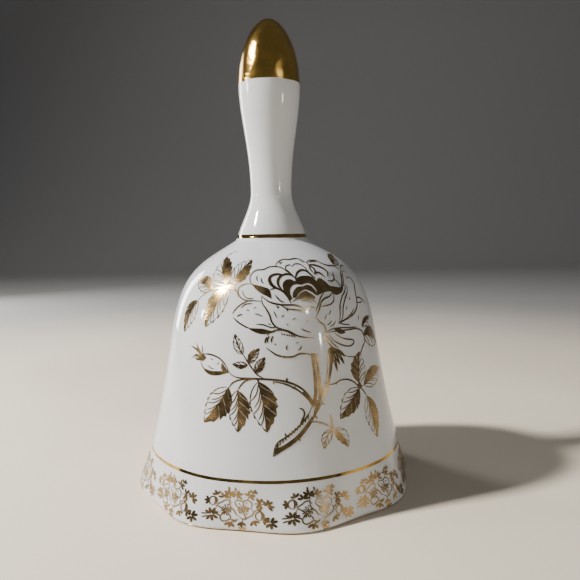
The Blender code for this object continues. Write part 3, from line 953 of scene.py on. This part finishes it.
    # lowest petal on the left
    d.line([(-2.0, 50.2), (-0.6, 51.2), (1.4, 51.6), (3.4, 51.3), (5.2, 50.4), (7.0, 49.7)], 0.3)
    d.line([(-2.3, 47.1), (-0.8, 46.0), (0.8, 45.0), (3.0, 44.5), (5.2, 44.5), (6.8, 45.1), (8.8, 45.0),
            (10.6, 44.5)], 0.34)
    for x, y in ((-2.5, 48.1), (-1.9, 48.3), (-0.8, 48.3)):
        d.line([(x, y), (x + 0.1, y + 0.9), (x + 0.6, y + 1.8)], 0.32)
    d.line([(0.2, 48.1), (0.4, 47.7)], 0.28)
    d.line([(3.7, 47.6), (3.3, 46.9), (3.6, 46.3)], 0.28)
    d.line([(7.6, 47.2), (7.3, 46.5), (6.6, 46.0)], 0.28)
    for i in range(6):
        d.line([(2.0 + 0.7 * i, 50.7 - 0.12 * i), (2.5 + 0.7 * i, 50.3 - 0.16 * i)], 0.3)
    # curled petals under the flower, on the right
    d.line([(16.4, 49.6), (17.6, 48.0), (19.6, 46.7), (22.2, 45.8), (24.4, 45.7), (25.7, 46.5), (25.2, 47.2),
            (22.8, 47.6), (20.4, 48.4), (18.4, 49.7)], pen)
    d.fill([(18.6, 50.9), (20.2, 50.8), (21.4, 50.4), (22.6, 49.6)],
           [(18.6, 50.6), (19.6, 49.7), (21.0, 49.2), (22.5, 49.4)])
    d.line([(15.4, 50.2), (18.0, 50.9), (21.6, 50.9), (25.0, 50.6), (28.4, 50.4)], 0.26)
    d.line([(15.0, 50.0), (19.0, 50.2), (23.4, 50.1), (27.4, 50.0), (30.2, 49.2), (31.4, 47.6), (31.4, 45.8),
            (29.6, 44.5), (28.2, 43.2), (25.6, 42.5), (22.8, 42.8), (20.8, 43.6)], pen)
    d.line([(14.2, 49.2), (15.4, 48.2), (16.4, 46.8), (17.6, 45.6)], 0.3)
    d.line([(14.8, 49.6), (16.4, 48.4), (17.6, 46.8), (19.2, 45.6)], 0.26)
    d.line([(20.2, 52.4), (22.4, 51.8), (25.2, 51.3)], 0.22)
    d.line([(21.0, 52.6), (24.0, 53.2), (26.4, 54.2), (28.8, 55.6)], 0.22)
    return d


def draw_stems():
    """The cut branch, its forks, the thorns, the calyx and the twin leaf at its foot."""
    d = Drawing(1.3)
    d.line([(-0.7, 19.2), (-0.3, 21.3), (0.6, 22.8), (2.4, 23.9), (4.6, 25.4), (6.8, 27.5), (8.6, 29.7),
            (9.6, 32.0)], 0.34)
    d.line([(-0.7, 19.2), (1.4, 20.6), (4.0, 22.3), (6.2, 24.1), (8.2, 26.4), (9.6, 28.3), (11.4, 30.6)],
           0.40)
    d.fill([(-0.2, 21.2), (1.2, 21.6), (3.0, 22.7), (5.0, 24.2), (7.2, 26.4), (9.2, 28.7)],
           [(-0.5, 19.6), (1.4, 20.8), (4.0, 22.5), (6.2, 24.3), (8.2, 26.6), (9.6, 28.5)])
    for i in range(12):
        x, y = 0.2 + 0.72 * i, 21.6 + 0.60 * i
        d.line([(x, y - 0.3), (x + 0.1, y + 0.5), (x + 0.35, y + 1.0)], 0.24, 0.8, 0.4)
    d.line([(-0.2, 20.6), (0.4, 21.6), (0.5, 22.6)], 0.3)
    # left fork, up to the flower
    d.line([(9.6, 32.0), (10.4, 34.6), (10.6, 38.0), (10.5, 41.5), (10.2, 44.8)], 0.30)
    d.line([(11.4, 31.0), (12.3, 34.4), (12.3, 38.0), (12.1, 41.5), (12.3, 44.6)], 0.30)
    d.fill([(11.2, 32.0), (11.5, 35.0), (11.5, 38.5), (11.5, 42.0), (11.9, 44.8)],
           [(11.7, 32.0), (12.3, 35.0), (12.3, 38.5), (12.1, 42.0), (12.4, 44.6)])
    d.fill([(9.6, 31.8), (10.3, 34.6), (10.5, 38.0), (10.4, 41.5), (10.1, 45.0)],
           [(10.4, 31.6), (11.2, 34.6), (11.3, 38.0), (11.2, 41.5), (11.6, 45.0)])
    # right fork, to the calyx
    d.line([(11.4, 30.6), (12.6, 32.6), (14.2, 35.2), (15.4, 38.4), (16.4, 41.6), (17.4, 44.8)], 0.30)
    d.line([(11.8, 33.0), (13.2, 35.6), (14.4, 38.8), (15.0, 41.6), (15.2, 44.8)], 0.26)
    d.fill([(12.6, 33.6), (14.0, 36.2), (15.0, 39.0), (15.6, 42.0), (15.6, 45.2)],
           [(12.9, 33.0), (14.5, 36.0), (15.7, 39.0), (16.6, 42.0), (17.8, 45.3)])
    d.fill([(9.4, 28.4), (10.0, 30.4), (10.6, 32.6)], [(9.8, 28.3), (11.2, 30.4), (11.9, 32.8)])
    d.fill([(15.3, 44.8), (15.8, 45.8), (17.0, 46.2), (18.6, 45.4)],
           [(15.5, 44.7), (16.4, 44.6), (17.2, 44.4), (18.4, 44.6)])
    for base, tip in (((16.9, 45.2), (17.9, 39.4)), ((17.4, 45.2), (18.9, 41.0)),
                      ((18.2, 45.2), (20.6, 41.0)), ((18.4, 45.4), (21.2, 43.0))):
        mid = ((base[0] + tip[0]) / 2, (base[1] + tip[1]) / 2)
        d.line([base, (mid[0] + 0.25, mid[1] + 0.2), tip], 0.42, 0.8, 0.2)
        d.line([(base[0] - 0.5, base[1]), (mid[0] - 0.30, mid[1]), tip], 0.26, 0.8, 0.2)
    # branch arching to the left
    d.line([(10.2, 31.2), (9.2, 33.4), (7.6, 35.5), (5.4, 37.1), (2.6, 38.2), (-0.4, 38.7), (-3.0, 38.9),
            (-6.4, 39.0), (-9.6, 39.1), (-11.4, 39.6), (-12.8, 40.6)], 0.42)
    d.line([(9.8, 30.6), (8.6, 33.0), (6.8, 35.0), (4.6, 36.6), (2.0, 37.7), (-0.6, 38.2)], 0.34)
    d.fill([(10.4, 31.4), (9.3, 33.5), (7.7, 35.6)], [(9.6, 31.2), (8.6, 33.1), (7.1, 35.1)])
    for x, y, direction, size in ((3.2, 38.0, 92, 1.1), (5.4, 36.6, 195, 1.1), (-0.2, 38.2, -110, 0.7),
                                  (2.4, 24.1, 100, 0.9), (5.2, 23.4, -40, 0.9), (9.9, 28.6, -35, 1.0),
                                  (12.0, 31.6, -10, 0.9), (14.2, 36.6, 190, 0.8)):
        d.thorn(x, y, direction, size)
    # leaf stalks on the left
    d.line([(-12.4, 36.2), (-11.4, 37.6), (-9.6, 38.5), (-7.0, 38.9)], 0.32)
    d.line([(-9.8, 35.8), (-8.8, 37.4), (-7.4, 38.5), (-5.4, 38.9)], 0.32)
    d.line([(-4.5, 38.9), (-4.3, 38.2)], 0.36, 1.0, 1.0)
    # sprig
    d.line([(-3.0, 39.2), (-4.6, 40.0), (-6.0, 41.6), (-7.2, 43.2), (-8.7, 45.3)], 0.32)
    # hooked shoot
    d.line([(6.2, 27.2), (7.0, 28.6), (7.3, 29.8), (6.9, 30.7), (6.4, 30.9)], 0.36, 1.0, 0.9)
    d.thorn(6.6, 30.9, 165, 0.6)
    d.dab(6.5, 28.5, -70, 1.0, 0.5)
    # twin leaf
    d.line([(8.2, 27.3), (10.4, 27.1), (12.6, 26.2), (14.4, 24.8)], 0.30)
    d.line([(14.2, 28.6), (14.4, 26.6), (14.4, 24.6)], 0.4, 0.3, 1.0)
    # stalks on the right
    d.line([(14.4, 36.3), (16.4, 36.3), (18.8, 37.0), (21.2, 36.8), (23.2, 35.8), (25.2, 34.2),
            (27.4, 34.1)], 0.34)
    d.line([(25.4, 34.0), (26.6, 32.8), (27.8, 31.0)], 0.32)
    d.thorn(16.6, 36.4, -20, 0.8)
    d.fill([(24.4, 34.4), (25.2, 35.4), (25.9, 35.2)], [(24.6, 34.0), (25.4, 33.4), (26.4, 34.0)])
    # stalks of the upper left leaves
    d.line([(-11.2, 60.4), (-12.4, 62.4), (-14.2, 63.4), (-17.0, 63.1), (-20.0, 62.9), (-22.6, 62.2),
            (-25.2, 60.8), (-27.4, 58.9)], 0.32)
    d.fill([(-12.2, 62.2), (-13.4, 63.7), (-15.4, 64.1), (-17.6, 63.3)],
           [(-12.6, 62.0), (-13.8, 62.7), (-15.4, 62.9), (-17.6, 63.0)])
    return d


def draw_hip():
    """The closed bud on the left with its pointed sepals."""
    d = Drawing(1.3)
    d.line([(-12.6, 40.4), (-13.4, 41.9), (-15.2, 43.6), (-17.6, 44.5), (-20.0, 44.7), (-21.8, 44.4)], 0.32)
    d.line([(-12.6, 40.4), (-14.2, 39.9), (-17.0, 39.4), (-19.4, 39.8), (-21.2, 41.2), (-22.2, 42.8)], 0.32)
    d.fill([(-12.8, 40.6), (-14.6, 40.6), (-16.8, 40.4), (-18.6, 40.4), (-20.2, 40.8)],
           [(-12.8, 40.2), (-14.4, 39.8), (-17.0, 39.3), (-19.2, 39.6), (-20.4, 40.4)])
    d.fill([(-12.8, 40.6), (-13.8, 41.8), (-14.8, 42.8)], [(-13.2, 40.2), (-14.9, 41.0), (-14.9, 42.6)])
    d.line([(-15.6, 42.8), (-16.4, 42.2)], 0.2)
    d.line([(-17.6, 43.4), (-18.6, 43.5)], 0.2)
    d.line([(-19.4, 41.7), (-18.2, 41.1), (-17.2, 40.9)], 0.22)
    for base, bend, tip in (((-21.4, 43.6), (-24.0, 45.4), (-27.2, 46.3)),
                            ((-21.6, 44.0), (-23.8, 46.0), (-24.6, 47.8)),
                            ((-21.3, 44.2), (-22.0, 46.0), (-22.2, 47.4)),
                            ((-21.8, 43.4), (-24.4, 43.9), (-26.4, 42.4)),
                            ((-22.0, 43.2), (-23.4, 42.9), (-24.9, 43.4))):
        d.fill([(base[0], base[1] + 0.45), (bend[0] + 0.1, bend[1] + 0.42), tip],
               [(base[0], base[1] - 0.35), (bend[0] - 0.1, bend[1] - 0.30), tip])
    d.fill([(-22.4, 44.0), (-21.4, 44.6), (-20.2, 43.8)], [(-22.4, 43.0), (-21.4, 42.6), (-20.2, 43.4)])
    return d


def draw_leaves():
    """The rose leaves round the flower and along the branches."""
    d = Drawing()
    # upper left
    d.leaf((-16.6, 64.2), (-25.6, 74.6), 7.6, solid=-1, bow=0.04, teeth=5, veins=5)
    d.line([(-25.0, 74.0), (-25.9, 75.2), (-25.2, 76.2), (-24.1, 75.9), (-24.3, 75.2)], 0.28)
    d.line([(-24.4, 76.2), (-23.5, 77.2), (-22.2, 77.3)], 0.26)
    # each: base, tip, width, solid half, bow, teeth, veins, and on the small ones pen and fine veins
    for leaf in (
        ((-14.6, 64.6), (-9.4, 73.2), 7.4, -1, 0.03, 5, 5),
        ((-15.6, 62.8), (-21.7, 51.8), 7.0, -1, -0.05, 6, 6),
        ((-22.4, 62.2), (-32.6, 65.2), 5.0, -1, -0.05, 6, 6),
        ((-27.2, 59.0), (-31.5, 49.6), 6.4, -1, -0.08, 6, 5),
        # lower left
        ((-12.4, 36.4), (-19.0, 26.6), 7.2, 1, 0.03, 7, 6),
        ((-9.9, 35.8), (-9.3, 25.0), 6.0, 1, 0.03, 7, 6),
        ((-4.4, 38.2), (-2.1, 25.2), 7.0, 1, 0.03, 7, 6),
        # sprig
        ((-8.7, 45.2), (-11.3, 50.6), 2.8, 0, 0.06, 4, 4, 0.28, True),
        ((-7.2, 42.5), (-11.7, 42.6), 2.0, 1, 0.04, 4, 3, 0.28, True),
        ((-7.0, 42.9), (-4.0, 46.9), 2.6, 1, 0.05, 5, 4, 0.32),
        ((-5.1, 40.4), (-2.5, 44.6), 2.6, -1, 0.02, 5, 4, 0.32),
        # twin leaf at the foot
        ((14.2, 24.7), (11.6, 20.0), 2.8, 0, -0.10, 4, 3, 0.28, True),
        ((14.9, 24.7), (18.3, 19.2), 3.4, -1, 0.10, 4, 3, 0.22, True),
        # right group
        ((25.4, 35.2), (27.4, 43.6), 6.6, 1, 0.02, 5, 5),
        ((27.4, 34.2), (39.6, 36.9), 5.4, 1, 0.02, 6, 6),
        ((25.0, 33.8), (17.0, 26.9), 6.0, 1, -0.02, 6, 5),
        ((27.9, 31.0), (29.2, 19.0), 6.2, 1, 0.04, 6, 6),
        # right edge
        ((31.2, 47.8), (42.4, 44.0), 6.2, 1, 0.06, 5, 4),
        ((31.0, 50.2), (38.6, 52.4), 2.6, 1, 0.02, 4, 3, 0.24),
        ((29.2, 70.0), (41.0, 74.8), 4.2, 1, 0.02, 5, 5),
    ):
        d.leaf(*leaf)
    return d


# ---------------------------------------------------------------- operators, one for each piece or group

class BELL_OT_body(bpy.types.Operator):
    """Porcelain body with its scalloped rim, shoulder and open crown"""
    bl_idname = "bell.body"
    bl_label = "Body"

    def execute(self, context):
        s = shape()
        outer = body_outline()
        inner = [p for p in offset(outer[:-1], s.wall) if p[0] > s.crown_hole + s.wall]
        inner[0] = (inner[0][0], outer[0][1])
        crown = [(s.crown_hole, s.seam), (s.crown_hole, s.seam - s.crown)]
        outside, inside = rim_rounding(outer[0][0], 1), rim_rounding(inner[0][0], -1)
        outline = outside + outer + crown + inner[::-1] + inside[::-1]
        body = turn("porcelain_body", outline, BODY_STEPS)
        scallop(body)
        finish_piece(body, finish_of(porcelain_glaze), "bell", "porcelain", "bell_body")
        return {"FINISHED"}


class BELL_OT_handle(bpy.types.Operator):
    """Hollow porcelain handle, cut back at its tip for the gilding"""
    bl_idname = "bell.handle"
    bl_label = "Handle"

    def execute(self, context):
        s = shape()
        clear = 0.00003
        foot = s.seam + clear
        outer, tip = handle_outline(foot), finial_outline()
        under = gold().skin + clear
        cut_back = offset([outer[-1]] + tip, under)
        cut_back[0] = (s.grip_radius - under, s.grip)
        cut_back[-1] = (0.0, s.tip - under)
        hollow = offset(outer + tip, s.handle_wall)
        hollow[0] = (hollow[0][0], foot)
        hollow[-1] = (0.0, s.tip - s.handle_wall)
        handle = turn("porcelain_handle", outer + cut_back + hollow[::-1], HANDLE_STEPS)
        finish_piece(handle, finish_of(porcelain_glaze), "bell", "porcelain", "handle")
        return {"FINISHED"}


class BELL_OT_finial(bpy.types.Operator):
    """Bright gold over the tip, with a hand-painted lower edge"""
    bl_idname = "bell.finial"
    bl_label = "Gilded finial"

    def execute(self, context):
        s, g = shape(), gold()
        overlap, swell, slow_wave, quick_wave = 0.00025, 0.003, 0.00008, 0.00005
        tip = finial_outline()
        outer = [(s.grip_radius + g.lift, s.grip - overlap), (s.grip_radius + g.lift, s.grip)]
        outer += [(r + g.lift * max(0.0, 1 - (z - s.grip) / swell), z) for r, z in tip]
        inner = offset([(s.grip_radius, s.grip)] + tip, g.skin)
        inner[0] = (s.grip_radius - g.skin, s.grip + g.lift / 2)
        inner[-1] = (0.0, s.tip - g.skin)
        sunk = s.grip_radius - g.print_depth + g.lift
        outline = outer + inner[::-1] + [(sunk, s.grip + g.lift / 2), (sunk, s.grip - overlap)]
        finial = turn("gilded_finial", outline, HANDLE_STEPS)
        for vertex in finial.data.vertices:
            if vertex.co.z < s.grip - overlap / 2:
                a = math.atan2(vertex.co.y, vertex.co.x)
                vertex.co.z += slow_wave * math.sin(3 * a + 1.0) + quick_wave * math.sin(8 * a)
        finish_piece(finial, finish_of(mirror_gold), "bell", "bright_gold", "finial_gilding")
        return {"FINISHED"}


class BELL_OT_gold_lines(bpy.types.Operator):
    """Gold lines round the seam, above the rim's flowers and on the rim's edge"""
    bl_idname = "bell.gold_lines"
    bl_label = "Gold lines"

    def ring(self, wall, name, low, width, waver=0.00003):
        """A thin ring that follows the wall for a width from low upwards, wavering as a brush does."""
        g = gold()
        row = 0.00012
        count = max(4, round(width / row))
        rows = [low + width * i / count for i in range(count + 1)]
        outer = [wall.lifted(y, g.lift) for y in rows]
        inner = [wall.lifted(y, g.lift - g.print_depth) for y in rows]
        ring = turn(name, outer + inner[::-1], BODY_STEPS)
        scallop(ring)
        for vertex in ring.data.vertices:
            a = math.atan2(vertex.co.y, vertex.co.x)
            vertex.co.z += waver * (math.sin(5 * a + 2.0) + 0.7 * math.sin(13 * a))
        finish_piece(ring, finish_of(line_gold), "bell", "bright_gold")

    def execute(self, context):
        g = gold()
        wall = Wall()
        below_seam, below_rim = 0.35 * g.neck_band, 0.0001
        self.ring(wall, "neck_gold_line", wall.seam - below_seam, g.neck_band, waver=0.0)
        self.ring(wall, "skirt_gold_line", g.band_height - g.band / 2, g.band)
        self.ring(wall, "rim_gold_line", -below_rim, g.rim_band)
        return {"FINISHED"}


class BELL_OT_rim_sprays(bpy.types.Operator):
    """Sprays of small flowers printed round the rim"""
    bl_idname = "bell.rim_sprays"
    bl_label = "Rim sprays"

    def execute(self, context):
        wall = Wall()
        count = gold().spray_count
        first = draw_spray().flat_piece("rim_spray_1")
        pitch = FULL_TURN * wall.round / count
        sprays = [first]
        for i in range(1, count):
            select_only(first)
            bpy.ops.object.duplicate(linked=False)
            copy = context.object
            copy.name = copy.data.name = "rim_spray_%d" % (i + 1)
            sprays.append(copy)
        for i, spray in enumerate(sprays):
            lay_on_wall(spray, wall, i * pitch)
        return {"FINISHED"}


class BELL_OT_bouquet(bpy.types.Operator):
    """The printed rose with its bud, leaves and cut branch"""
    bl_idname = "bell.bouquet"
    bl_label = "Printed rose"

    def execute(self, context):
        wall = Wall()
        for name, drawing in (("rose_print", draw_rose()), ("stem_print", draw_stems()),
                              ("hip_print", draw_hip()), ("leaf_print", draw_leaves())):
            lay_on_wall(drawing.flat_piece(name), wall)
        return {"FINISHED"}


def eye(centre, radius):
    """A wire eye below a shank: the bend from the shank, then the loop, stopping short of the shank."""
    h = hanging()
    gap, past_bend = 0.0003, 8
    bend = arc((h.eye_bend, centre + radius + h.eye_bend), h.eye_bend, 180, 270, 8)
    first = math.degrees(math.acos(h.eye_bend / radius)) - past_bend
    clear = math.degrees(math.asin((2 * h.wire + gap) / radius))
    return bend + arc((0.0, centre), radius, first, clear - 270, 32)


class BELL_OT_plug(bpy.types.Operator):
    """Cement plug in the crown, trowelled round the hanger"""
    bl_idname = "bell.plug"
    bl_label = "Cement plug"

    def execute(self, context):
        low, high, radius = PLUG_LOW.z, PLUG_HIGH.z, PLUG_HIGH.x
        clear, rows, roughness = 0.00003, 7, 0.00012
        bore, edge = hanging().wire + clear, hanging().plug_edge
        rounded = arc((radius - edge, low + edge), edge, -90, 0, rows)
        face = [(bore + (rounded[0][0] - bore) * i / rows, low) for i in range(rows + 1)]
        plug = turn("cement_plug", face + rounded[1:] + [(radius, high), (bore, high)], PLUG_STEPS)
        bpy.ops.object.mode_set(mode="EDIT")
        bpy.ops.mesh.select_all(action="DESELECT")
        bpy.ops.object.mode_set(mode="OBJECT")
        for vertex in plug.data.vertices:
            inside = bore + 0.0004 < vertex.co.xy.length < radius - 0.0002
            vertex.select = inside and vertex.co.z < low + 0.0011
        bpy.ops.object.mode_set(mode="EDIT")
        bpy.ops.transform.vertex_random(offset=roughness, uniform=0.2, normal=0.6, seed=4)
        bpy.ops.object.mode_set(mode="OBJECT")
        for vertex in plug.data.vertices:
            vertex.co.z = max(vertex.co.z, low)
        finish_piece(plug, finish_of(cement_paste), "bell", "cement", "crown_plug")
        return {"FINISHED"}


class BELL_OT_chain(bpy.types.Operator):
    """Hanger eye and the five links of the brass chain"""
    bl_idname = "bell.chain"
    bl_label = "Hanger and chain"

    def execute(self, context):
        h = hanging()
        brass = finish_of(brass_wire)
        centre = EYE_LOW.z + h.wire + h.eye_radius
        path = [(0.0, EYE_HIGH.z)] + eye(centre, h.eye_radius)
        hanger = wire("brass_hanger_eye", [(x, 0.0, z) for x, z in path])
        finish_piece(hanger, brass, "bell", "brass_wire", "hanger_eye")
        for number in range(1, 6):
            low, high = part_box("chain_link_%d" % number)
            oval = arc((0.0, high.z - h.wire - h.link_bend), h.link_bend, 0, 180, 20)
            oval += arc((0.0, low.z + h.wire + h.link_bend), h.link_bend, 180, 360, 20)
            across = number % 2 == 1
            path = [(0.0, u, z) if across else (u, 0.0, z) for u, z in oval]
            link = wire("brass_link_%d" % number, path, closed=True)
            finish_piece(link, brass, "link_%d" % number, "brass_wire", "chain_link_%d" % number)
        return {"FINISHED"}


class BELL_OT_clapper(bpy.types.Operator):
    """Clapper: the wire with its loop and curl, and the glazed porcelain bead on it"""
    bl_idname = "bell.clapper"
    bl_label = "Clapper"

    def execute(self, context):
        h = hanging()
        loop_centre = PIN_HIGH.z - h.wire - h.pin_loop
        curl_centre = PIN_LOW.z + h.wire + h.pin_curl
        loop = [(x, -z) for x, z in eye(-loop_centre, h.pin_loop)]
        path = loop[::-1] + eye(curl_centre, h.pin_curl)
        pin = wire("brass_clapper_wire", [(x, 0.0, z) for x, z in path])
        finish_piece(pin, finish_of(brass_wire), "clapper", "brass_wire", "clapper_pin")
        centre, lip = (BEAD_LOW.z + BEAD_HIGH.z) / 2, h.bore_lip
        start = math.degrees(math.asin((h.bore + lip) / h.bead_radius))
        ball = arc((0.0, centre), h.bead_radius, start - 90, 90 - start, 48)
        drop = centre - ball[0][1]
        under = arc((h.bore + lip, centre - drop + lip), lip, 180, 255, 5)
        over = [(r, 2 * centre - z) for r, z in under][::-1]
        bead = turn("porcelain_bead", under + ball + over, BEAD_STEPS)
        finish_piece(bead, finish_of(porcelain_glaze), "bead", "porcelain", "clapper_bead")
        return {"FINISHED"}


class BELL_OT_stage(bpy.types.Operator):
    """Pale floor, soft studio lights and the camera"""
    bl_idname = "bell.stage"
    bl_label = "Stage"

    MIDDLE = (0.0, 0.0, 0.06)
    CAMERA_PLACE = (0.0, -0.1865, 0.0741)

    def lamp(self, name, place, size, power, tint=(1.0, 1.0, 1.0)):
        """A rectangular lamp that points at the middle of the bell."""
        bpy.ops.object.light_add(type="AREA", location=place)
        lamp = bpy.context.object
        lamp.name = name
        lamp.data.shape = "RECTANGLE"
        lamp.data.size, lamp.data.size_y = size
        lamp.data.energy = power
        lamp.data.color = tint
        lamp.rotation_euler = (Vector(self.MIDDLE) - Vector(place)).to_track_quat("-Z", "Y").to_euler()

    def floor(self):
        """A sweep: a flat floor that curves up far behind the bell."""
        side, back, bend, top = 3.0, 1.2, 0.8, 3.5
        piece = start_point("floor", Vector((-side, -side, 0.0)))
        profile = [(-side, 0.0)] + arc((back, bend), bend, -90, 0, 16) + [(back + bend, top)]
        for (y0, z0), (y1, z1) in zip(profile, profile[1:]):
            bpy.ops.mesh.extrude_region_move(TRANSFORM_OT_translate={"value": (0.0, y1 - y0, z1 - z0)})
        bpy.ops.mesh.select_all(action="SELECT")
        bpy.ops.mesh.extrude_region_move(TRANSFORM_OT_translate={"value": (2 * side, 0.0, 0.0)})
        bpy.ops.mesh.select_all(action="SELECT")
        bpy.ops.mesh.normals_make_consistent(inside=True)
        bpy.ops.object.mode_set(mode="OBJECT")
        bpy.ops.object.transform_apply(location=True, rotation=True, scale=True)
        bpy.ops.object.shade_smooth_by_angle(angle=SOFT_EDGE)
        piece.data.materials.append(finish_of(floor_paint_and_shade))

    def camera(self, context):
        bpy.ops.object.camera_add(location=self.CAMERA_PLACE)
        camera = context.object
        camera.name = "camera"
        camera.data.lens = 37.24
        camera.data.sensor_width = 36.0
        camera.data.clip_start = 0.01
        yaw, pitch, roll = (math.radians(a) for a in (1.62, 4.88, -0.94))
        ahead = Vector((math.sin(yaw) * math.cos(pitch), math.cos(yaw) * math.cos(pitch), -math.sin(pitch)))
        right = Vector((math.cos(yaw), -math.sin(yaw), 0.0))
        up = right.cross(ahead)
        right, up = right * math.cos(roll) + up * math.sin(roll), up * math.cos(roll) - right * math.sin(roll)
        camera.matrix_world = Matrix((right, up, -ahead)).transposed().to_4x4()
        camera.location = self.CAMERA_PLACE
        context.scene.camera = camera

    def execute(self, context):
        self.floor()
        world = bpy.data.worlds.new("studio")
        context.scene.world = world
        world.use_nodes = True
        sky = world.node_tree.nodes["Background"]
        sky.inputs["Color"].default_value = (0.90, 0.93, 1.0, 1.0)
        sky.inputs["Strength"].default_value = 0.085
        self.lamp("key_light", (-0.62, -0.12, 0.60), (0.07, 0.07), 12.5, (1.0, 0.97, 0.93))
        self.lamp("left_lamp", (-0.85, -0.02, 0.28), (0.04, 0.07), 1.2)
        self.lamp("rear_light", (-0.50, 0.52, 0.22), (0.12, 0.40), 2.4)
        self.lamp("right_lamp", (0.46, -0.39, 0.14), (0.014, 0.036), 0.16, (1.0, 0.97, 0.92))
        self.lamp("high_lamp", (0.36, -0.43, 0.30), (0.018, 0.018), 0.14, (1.0, 0.97, 0.92))
        self.camera(context)
        return {"FINISHED"}


class BELL_PT_pieces(bpy.types.Panel):
    """Lists the bell's pieces and sizes"""
    bl_idname = "BELL_PT_pieces"
    bl_label = "Porcelain bell"
    bl_space_type = "VIEW_3D"
    bl_region_type = "UI"
    bl_category = "Bell"

    def draw(self, context):
        column = self.layout.column(align=True)
        for operator in OPERATORS:
            column.operator(operator.bl_idname)
        for name, group in GROUPS.items():
            box = self.layout.box()
            box.label(text=group.bl_rna.name)
            for size in group.__annotations__:
                box.prop(getattr(context.scene, name), size)


GROUPS = {"bell_shape": BellShape, "bell_hanging": HangingShape, "bell_gold": GoldShape,
          "bell_colours": BellColours}
OPERATORS = (BELL_OT_body, BELL_OT_handle, BELL_OT_finial, BELL_OT_gold_lines, BELL_OT_rim_sprays,
             BELL_OT_bouquet, BELL_OT_plug, BELL_OT_chain, BELL_OT_clapper, BELL_OT_stage)


def register():
    for group in GROUPS.values():
        bpy.utils.register_class(group)
    for name, group in GROUPS.items():
        setattr(bpy.types.Scene, name, bpy.props.PointerProperty(type=group))
    for operator in OPERATORS:
        bpy.utils.register_class(operator)
    bpy.utils.register_class(BELL_PT_pieces)


def unregister():
    bpy.utils.unregister_class(BELL_PT_pieces)
    for operator in reversed(OPERATORS):
        bpy.utils.unregister_class(operator)
    for name, group in GROUPS.items():
        delattr(bpy.types.Scene, name)
        bpy.utils.unregister_class(group)


def main():
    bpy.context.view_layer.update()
    register()
    bpy.ops.bell.body()
    bpy.ops.bell.handle()
    bpy.ops.bell.finial()
    bpy.ops.bell.gold_lines()
    bpy.ops.bell.rim_sprays()
    bpy.ops.bell.bouquet()
    bpy.ops.bell.plug()
    bpy.ops.bell.chain()
    bpy.ops.bell.clapper()
    bpy.ops.bell.stage()


if __name__ == "__main__":
    main()
